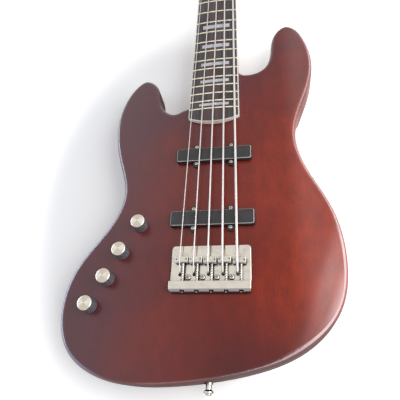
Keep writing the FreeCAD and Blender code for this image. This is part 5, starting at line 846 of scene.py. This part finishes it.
def cut_string(whole, island, start, end, cuts):
    """The stretch of one string between two places along the neck, with rings at the cuts."""
    made = whole.copy()
    made.verts.ensure_lookup_table()
    bmesh.ops.delete(made, geom=[v for v in made.verts if v.index not in island], context="VERTS")

    def cut(place, inner=False, outer=False):
        bmesh.ops.bisect_plane(made, geom=made.verts[:] + made.edges[:] + made.faces[:],
                               plane_co=(0, place, 0), plane_no=(0, 1, 0),
                               clear_inner=inner, clear_outer=outer)

    if start is not None:
        cut(start, inner=True)
    if end is not None:
        cut(end, outer=True)
    for place in cuts:
        cut(place)
    bmesh.ops.holes_fill(made, edges=[edge for edge in made.edges if edge.is_boundary], sides=0)
    return made


def foam_mesh(low, high, rounding, bulge):
    """A pressed foam block: rounded edges, and sides that swell at half height."""
    made = bmesh.new()
    bmesh.ops.create_cube(made, size=1.0)
    bmesh.ops.subdivide_edges(made, edges=made.edges[:], cuts=FOAM_CUTS, use_grid_fill=True)
    middle = (high + low) / 2
    inner = (high - low) / 2 - Vector((rounding + bulge, rounding + bulge, rounding))
    for vert in made.verts:
        share = vert.co * 2
        core = Vector([max(-1.0, min(1.0, s)) * room for s, room in zip(share, inner)])
        out = Vector([s if abs(s) > 0.999 else 0.0 for s in share])
        ripple = (math.sin(RIPPLE_X * share.x + RIPPLE_XY * share.y)
                  * math.sin(RIPPLE_Y * share.y + RIPPLE_YZ * share.z))
        swell = bulge * (1.0 - share.z ** 2) * (1.0 + RIPPLE_DEPTH * ripple) * SWELL_SHARE
        side = Vector((out.x, out.y, 0.0)) * swell
        if out.length > 0:
            out.normalize()
        vert.co = middle + core + out * rounding + side
    return made


class BassOperator:
    """What the operators that finish pieces share: they can be undone."""

    bl_options = {"REGISTER", "UNDO"}


class BASS_OT_finish_body(BassOperator, bpy.types.Operator):
    """Stain and lacquer the mahogany body, with painted light and shade in its colour"""

    bl_idname = "bass.finish_body"
    bl_label = "Finish the body"

    def execute(self, context):
        dress(satin_mahogany(context.scene.bass_finish), "body")
        return {"FINISHED"}


class BASS_OT_finish_neck(BassOperator, bpy.types.Operator):
    """Finish the maple neck and the bone nut"""

    bl_idname = "bass.finish_neck"
    bl_label = "Finish the neck"

    def execute(self, context):
        kit = context.scene.bass_finish
        dress(satin_maple(kit), "neck")
        dress(polished_bone(kit), "nut")
        return {"FINISHED"}


class BASS_OT_finish_fingerboard(BassOperator, bpy.types.Operator):
    """Oil the fingerboard and polish its binding, blocks and frets"""

    bl_idname = "bass.finish_fingerboard"
    bl_label = "Finish the fingerboard"

    def execute(self, context):
        kit = context.scene.bass_finish
        dress(oiled_rosewood(kit), "fingerboard")
        dress(cream_binding(kit), "fingerboard_binding")
        dress(pearl_blocks(kit), "position_blocks")
        dress(fret_wire(kit), "frets")
        return {"FINISHED"}


class BASS_OT_build_strings(BassOperator, bpy.types.Operator):
    """Build the wound strings, each cut into pieces at its saddle and at its tuner post"""

    bl_idname = "bass.build_strings"
    bl_label = "Build the strings"

    def execute(self, context):
        kit = context.scene.bass_finish
        material = wound_strings(kit)
        whole, islands = string_islands()
        for name, island in zip(STRING_NAMES, islands):
            low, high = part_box("saddle_" + name)
            bend = low.y + kit.saddle_break
            joint = bend + kit.saddle_break
            back = bend - kit.saddle_break
            foot = kit.saddle_break - kit.string_hole
            post_low, post_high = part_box("tuner_post_" + name)
            wound = (post_low + post_high) / 2 - Vector((0.0, kit.winding_reach, 0.0))
            lead = wound - Vector((0.0, kit.winding_lead, 0.0))
            stretches = (
                ("string_tail_", None, joint, even_places(foot, back - foot, TAIL_STEPS, first=0)),
                ("string_run_", joint, lead.y, even_places(joint, kit.string_reach, RUN_STEPS)),
                ("string_winding_", lead.y, None, even_places(lead.y, kit.winding_lead, LEAD_STEPS)))
            tail, run, winding = [
                piece_from(kind + name, cut_string(whole, island, start, end, cuts), material)
                for kind, start, end, cuts in stretches]
            for piece in (tail, run, winding):
                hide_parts("strings")
            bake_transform(tail)
            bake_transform(run)
            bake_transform(winding)
        whole.free()
        return {"FINISHED"}


class BASS_OT_finish_pickups(BassOperator, bpy.types.Operator):
    """Mould the pickup covers, wind the coils and plate the screws"""

    bl_idname = "bass.finish_pickups"
    bl_label = "Finish the pickups"

    def execute(self, context):
        kit = context.scene.bass_finish
        dress(cover_plastic(kit), *each("", PICKUP_NAMES, "_pickup_cover"))
        dress(coil_wire(kit), *each("", PICKUP_NAMES, "_pickup_coil"))
        dress(plated(kit), "pickup_screws")
        return {"FINISHED"}


class BASS_OT_build_foam(BassOperator, bpy.types.Operator):
    """Build the foam pads that press the pickups up"""

    bl_idname = "bass.build_foam"
    bl_label = "Build the foam pads"

    def execute(self, context):
        kit = context.scene.bass_finish
        material = open_foam(kit)
        pads_low, pads_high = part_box("pickup_foam_pads")
        for name in PICKUP_NAMES:
            low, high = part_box(name + "_pickup_coil")
            middle = (low + high) / 2
            width = pads_high.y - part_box("neck_pickup_coil")[1].y + (high.y - low.y) / 2
            reach = (high.x - low.x) / 2 - (pads_low.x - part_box("bridge_pickup_coil")[0].x)
            start = Vector((middle.x - reach, middle.y - width, pads_low.z))
            end = Vector((middle.x + reach, middle.y + width, pads_high.z))
            shape = foam_mesh(start, end, kit.foam_round, kit.foam_bulge)
            pad = piece_from(name + "_pickup_foam", shape, material)
            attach(pad, "instrument")
            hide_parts("pickup_foam_pads")
        return {"FINISHED"}


class BASS_OT_finish_bridge(BassOperator, bpy.types.Operator):
    """Plate the bridge, its saddles and screws, and the ferrules"""

    bl_idname = "bass.finish_bridge"
    bl_label = "Finish the bridge"

    def execute(self, context):
        dress(plated(context.scene.bass_finish), "bridge_plate", "bridge_screws", "string_ferrules",
              *each("saddle_"), *each("intonation_screw_"))
        return {"FINISHED"}


class BASS_OT_build_springs(BassOperator, bpy.types.Operator):
    """Wind the springs on the intonation screws"""

    bl_idname = "bass.build_springs"
    bl_label = "Build the springs"

    def execute(self, context):
        kit = context.scene.bass_finish
        material = spring_steel(kit)
        wire, radius = kit.spring_wire / 2, kit.spring_coil / 2
        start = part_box("intonation_springs")[0].y + wire
        turns = even_places(0.0, 2 * math.pi * kit.spring_turns, kit.spring_turns * SPRING_STEPS, first=0)
        for name in STRING_NAMES:
            low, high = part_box("intonation_screw_" + name)
            x = (low.x + high.x) / 2
            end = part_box("saddle_" + name)[0].y - (kit.spring_gap + wire)
            points = [Vector((x + radius * math.cos(t), start + (end - start) * t / turns[-1],
                              kit.screw_height - radius * math.sin(t))) for t in turns]
            shape = tube_mesh(points, wire, SPRING_SIDES)
            spring = piece_from("intonation_spring_" + name, shape, material)
            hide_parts("intonation_springs")
            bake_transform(spring)
        return {"FINISHED"}


class BASS_OT_finish_controls(BassOperator, bpy.types.Operator):
    """Plate the knobs and the jack, and finish the parts in the control cavity"""

    bl_idname = "bass.finish_controls"
    bl_label = "Finish the controls"

    def execute(self, context):
        kit = context.scene.bass_finish
        for name in KNOB_NAMES:
            dress(knob_plating(kit, name), name + "_knob")
        dress(plated(kit), "output_jack", "cover_screws")
        dress(bare_steel(kit), "potentiometers", "pot_nuts")
        dress(sheet_plastic(kit), "control_cover")
        dress(battery_sleeve(kit), "battery")
        dress(lacquered_board(kit), "preamp_board")
        return {"FINISHED"}


class BASS_OT_finish_tuners(BassOperator, bpy.types.Operator):
    """Plate the tuning machines and the string retainer"""

    bl_idname = "bass.finish_tuners"
    bl_label = "Finish the tuners"

    def execute(self, context):
        dress(plated(context.scene.bass_finish), "tuner_plates", "tuner_bushings", "tuner_screws",
              "string_retainer", *each("tuner_key_"), *each("tuner_post_"))
        return {"FINISHED"}


class BASS_OT_finish_fittings(BassOperator, bpy.types.Operator):
    """Plate the strap buttons and the neck plate, and finish the truss rod"""

    bl_idname = "bass.finish_fittings"
    bl_label = "Finish the fittings"

    def execute(self, context):
        kit = context.scene.bass_finish
        dress(plated(kit), "strap_buttons", "strap_button_screws", "neck_plate", "neck_screws")
        dress(bare_steel(kit), "truss_rod", "truss_rod_nut")
        return {"FINISHED"}


def seen_directly(nodes):
    """One where the camera, a mirror or glass looks, and nothing for other light."""
    path = nodes.add("ShaderNodeLightPath").outputs
    mirror = nodes.maths("MAXIMUM", path["Is Glossy Ray"], path["Is Transmission Ray"])
    return nodes.maths("MAXIMUM", path["Is Camera Ray"], mirror)


class BASS_OT_set_stage(bpy.types.Operator):
    """Lay the pale floor, hang the softbox, window, card and wall, and stand the camera"""

    bl_idname = "bass.set_stage"
    bl_label = "Set the stage"

    def execute(self, context):
        stage = context.scene.bass_stage
        self.lay_floor(context, stage)
        self.light_room(context, stage)
        self.stand_camera(context, stage)
        context.scene.view_settings.view_transform = "Standard"
        return {"FINISHED"}

    def lay_floor(self, context, stage):
        """A pale floor that turns white away from the body; its lift is smaller near the body, a painted
        shade that deepens the shadow, most towards the treble side.
        """
        mat = Finish("pale_floor")
        low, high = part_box("body")
        middle, half = (low + high) / 2, (high - low) / 2
        # Painted shade round the body: less lift near it, centred towards the treble side
        shaded = (middle.x + stage.fade_shift * half.x, middle.y, 0.0)
        from_body = mat.stretched(mat.vectors("SUBTRACT", mat.place, shaded)[0],
                                  (1.0 / half.x, 1.0 / half.y, 0.0))
        away = mat.add("ShaderNodeVectorMath", {0: from_body}, operation="LENGTH").outputs["Value"]
        white = mat.spread(away, stage.fade_start, stage.fade_end, stage.floor_lift, stage.floor_fade)
        lift = mat.add("ShaderNodeEmission", {"Color": stage.room_white,
                                              "Strength": mat.times(seen_directly(mat), white)})
        both = mat.add("ShaderNodeAddShader", {0: mat.shader.outputs[0], 1: lift.outputs[0]})
        mat.feed(mat.end.inputs[0], both.outputs[0])
        dusty = [part * 0.985 for part in stage.floor_white]
        ground = mat.blended(mat.noise(mat.place, 14.0, 2.0), stage.floor_white, dusty)
        material = mat.shade(Base_Color=ground, Roughness=0.9, Specular_IOR_Level=0.0)
        mesh = bpy.data.meshes.new("floor")
        sheet = bmesh.new()
        bmesh.ops.create_grid(sheet, x_segments=2, y_segments=2, size=stage.floor_reach)
        sheet.to_mesh(mesh)
        sheet.free()
        mesh.materials.append(material)
        floor = bpy.data.objects.new("floor", mesh)
        floor.location.z = CAD_BOX[0].z
        context.scene.collection.objects.link(floor)

    def light_room(self, context, stage):
        """A white room, dimmer as a light than it looks, and its four lamps."""
        world = bpy.data.worlds.new("white_room")
        world.use_nodes = True
        nodes = Nodes(world.node_tree)
        nodes.tree.nodes.clear()
        around, seen = [
            nodes.add("ShaderNodeBackground", {"Color": stage.room_white, "Strength": strength})
            for strength in (stage.room_light, 1.0)]
        choice = nodes.add("ShaderNodeMixShader", {0: seen_directly(nodes), 1: around.outputs[0],
                                                   2: seen.outputs[0]})
        nodes.add("ShaderNodeOutputWorld", {0: choice.outputs[0]})
        context.scene.world = world
        for name in LAMP_NAMES:
            light = bpy.data.lights.new(name, "AREA")
            light.shape = "RECTANGLE"
            light.size, light.size_y, light.energy, light.color = [
                getattr(stage, name + part) for part in ("_width", "_height", "_power", "_tint")]
            hung = bpy.data.objects.new(name, light)
            hung.location = getattr(stage, name + "_place")
            aim = Vector(stage.lamp_target) - Vector(getattr(stage, name + "_place"))
            hung.rotation_euler = aim.to_track_quat("-Z", "Y").to_euler()
            context.scene.collection.objects.link(hung)

    def stand_camera(self, context, stage):
        """The camera of the photo."""
        eye = bpy.data.cameras.new("camera")
        eye.sensor_fit, eye.sensor_width, eye.lens = "HORIZONTAL", SENSOR_WIDTH, stage.eye_lens
        eye.clip_start = CLIP_START
        camera = bpy.data.objects.new("camera", eye)
        camera.location = stage.eye_place
        camera.rotation_euler = Euler(stage.eye_turn)
        context.scene.collection.objects.link(camera)
        context.scene.camera = camera


OPERATORS = (
    BASS_OT_finish_body, BASS_OT_finish_neck, BASS_OT_finish_fingerboard, BASS_OT_build_strings,
    BASS_OT_finish_pickups, BASS_OT_build_foam, BASS_OT_finish_bridge, BASS_OT_build_springs,
    BASS_OT_finish_controls, BASS_OT_finish_tuners, BASS_OT_finish_fittings, BASS_OT_set_stage,
)


class BASS_PT_finishes(bpy.types.Panel):
    """The steps that finish the bass"""

    bl_label = "Bass guitar"
    bl_space_type = "VIEW_3D"
    bl_region_type = "UI"
    bl_category = "Bass"

    def draw(self, context):
        for operator in OPERATORS:
            self.layout.operator(operator.bl_idname)


CLASSES = (BassFinish, BassStage) + OPERATORS + (BASS_PT_finishes,)


def register():
    """Register the classes and hang the settings on the scene."""
    for kind in CLASSES:
        bpy.utils.register_class(kind)
    bpy.types.Scene.bass_finish = PointerProperty(type=BassFinish)
    bpy.types.Scene.bass_stage = PointerProperty(type=BassStage)


def unregister():
    """Take the settings and the classes away again."""
    for name in ("bass_finish", "bass_stage"):
        delattr(bpy.types.Scene, name)
    for kind in reversed(CLASSES):
        bpy.utils.unregister_class(kind)


def main():
    """Finish the whole bass."""
    register()
    for operator in OPERATORS:
        group, name = operator.bl_idname.split(".")
        getattr(getattr(bpy.ops, group), name)()


if __name__ == "__main__":
    main()
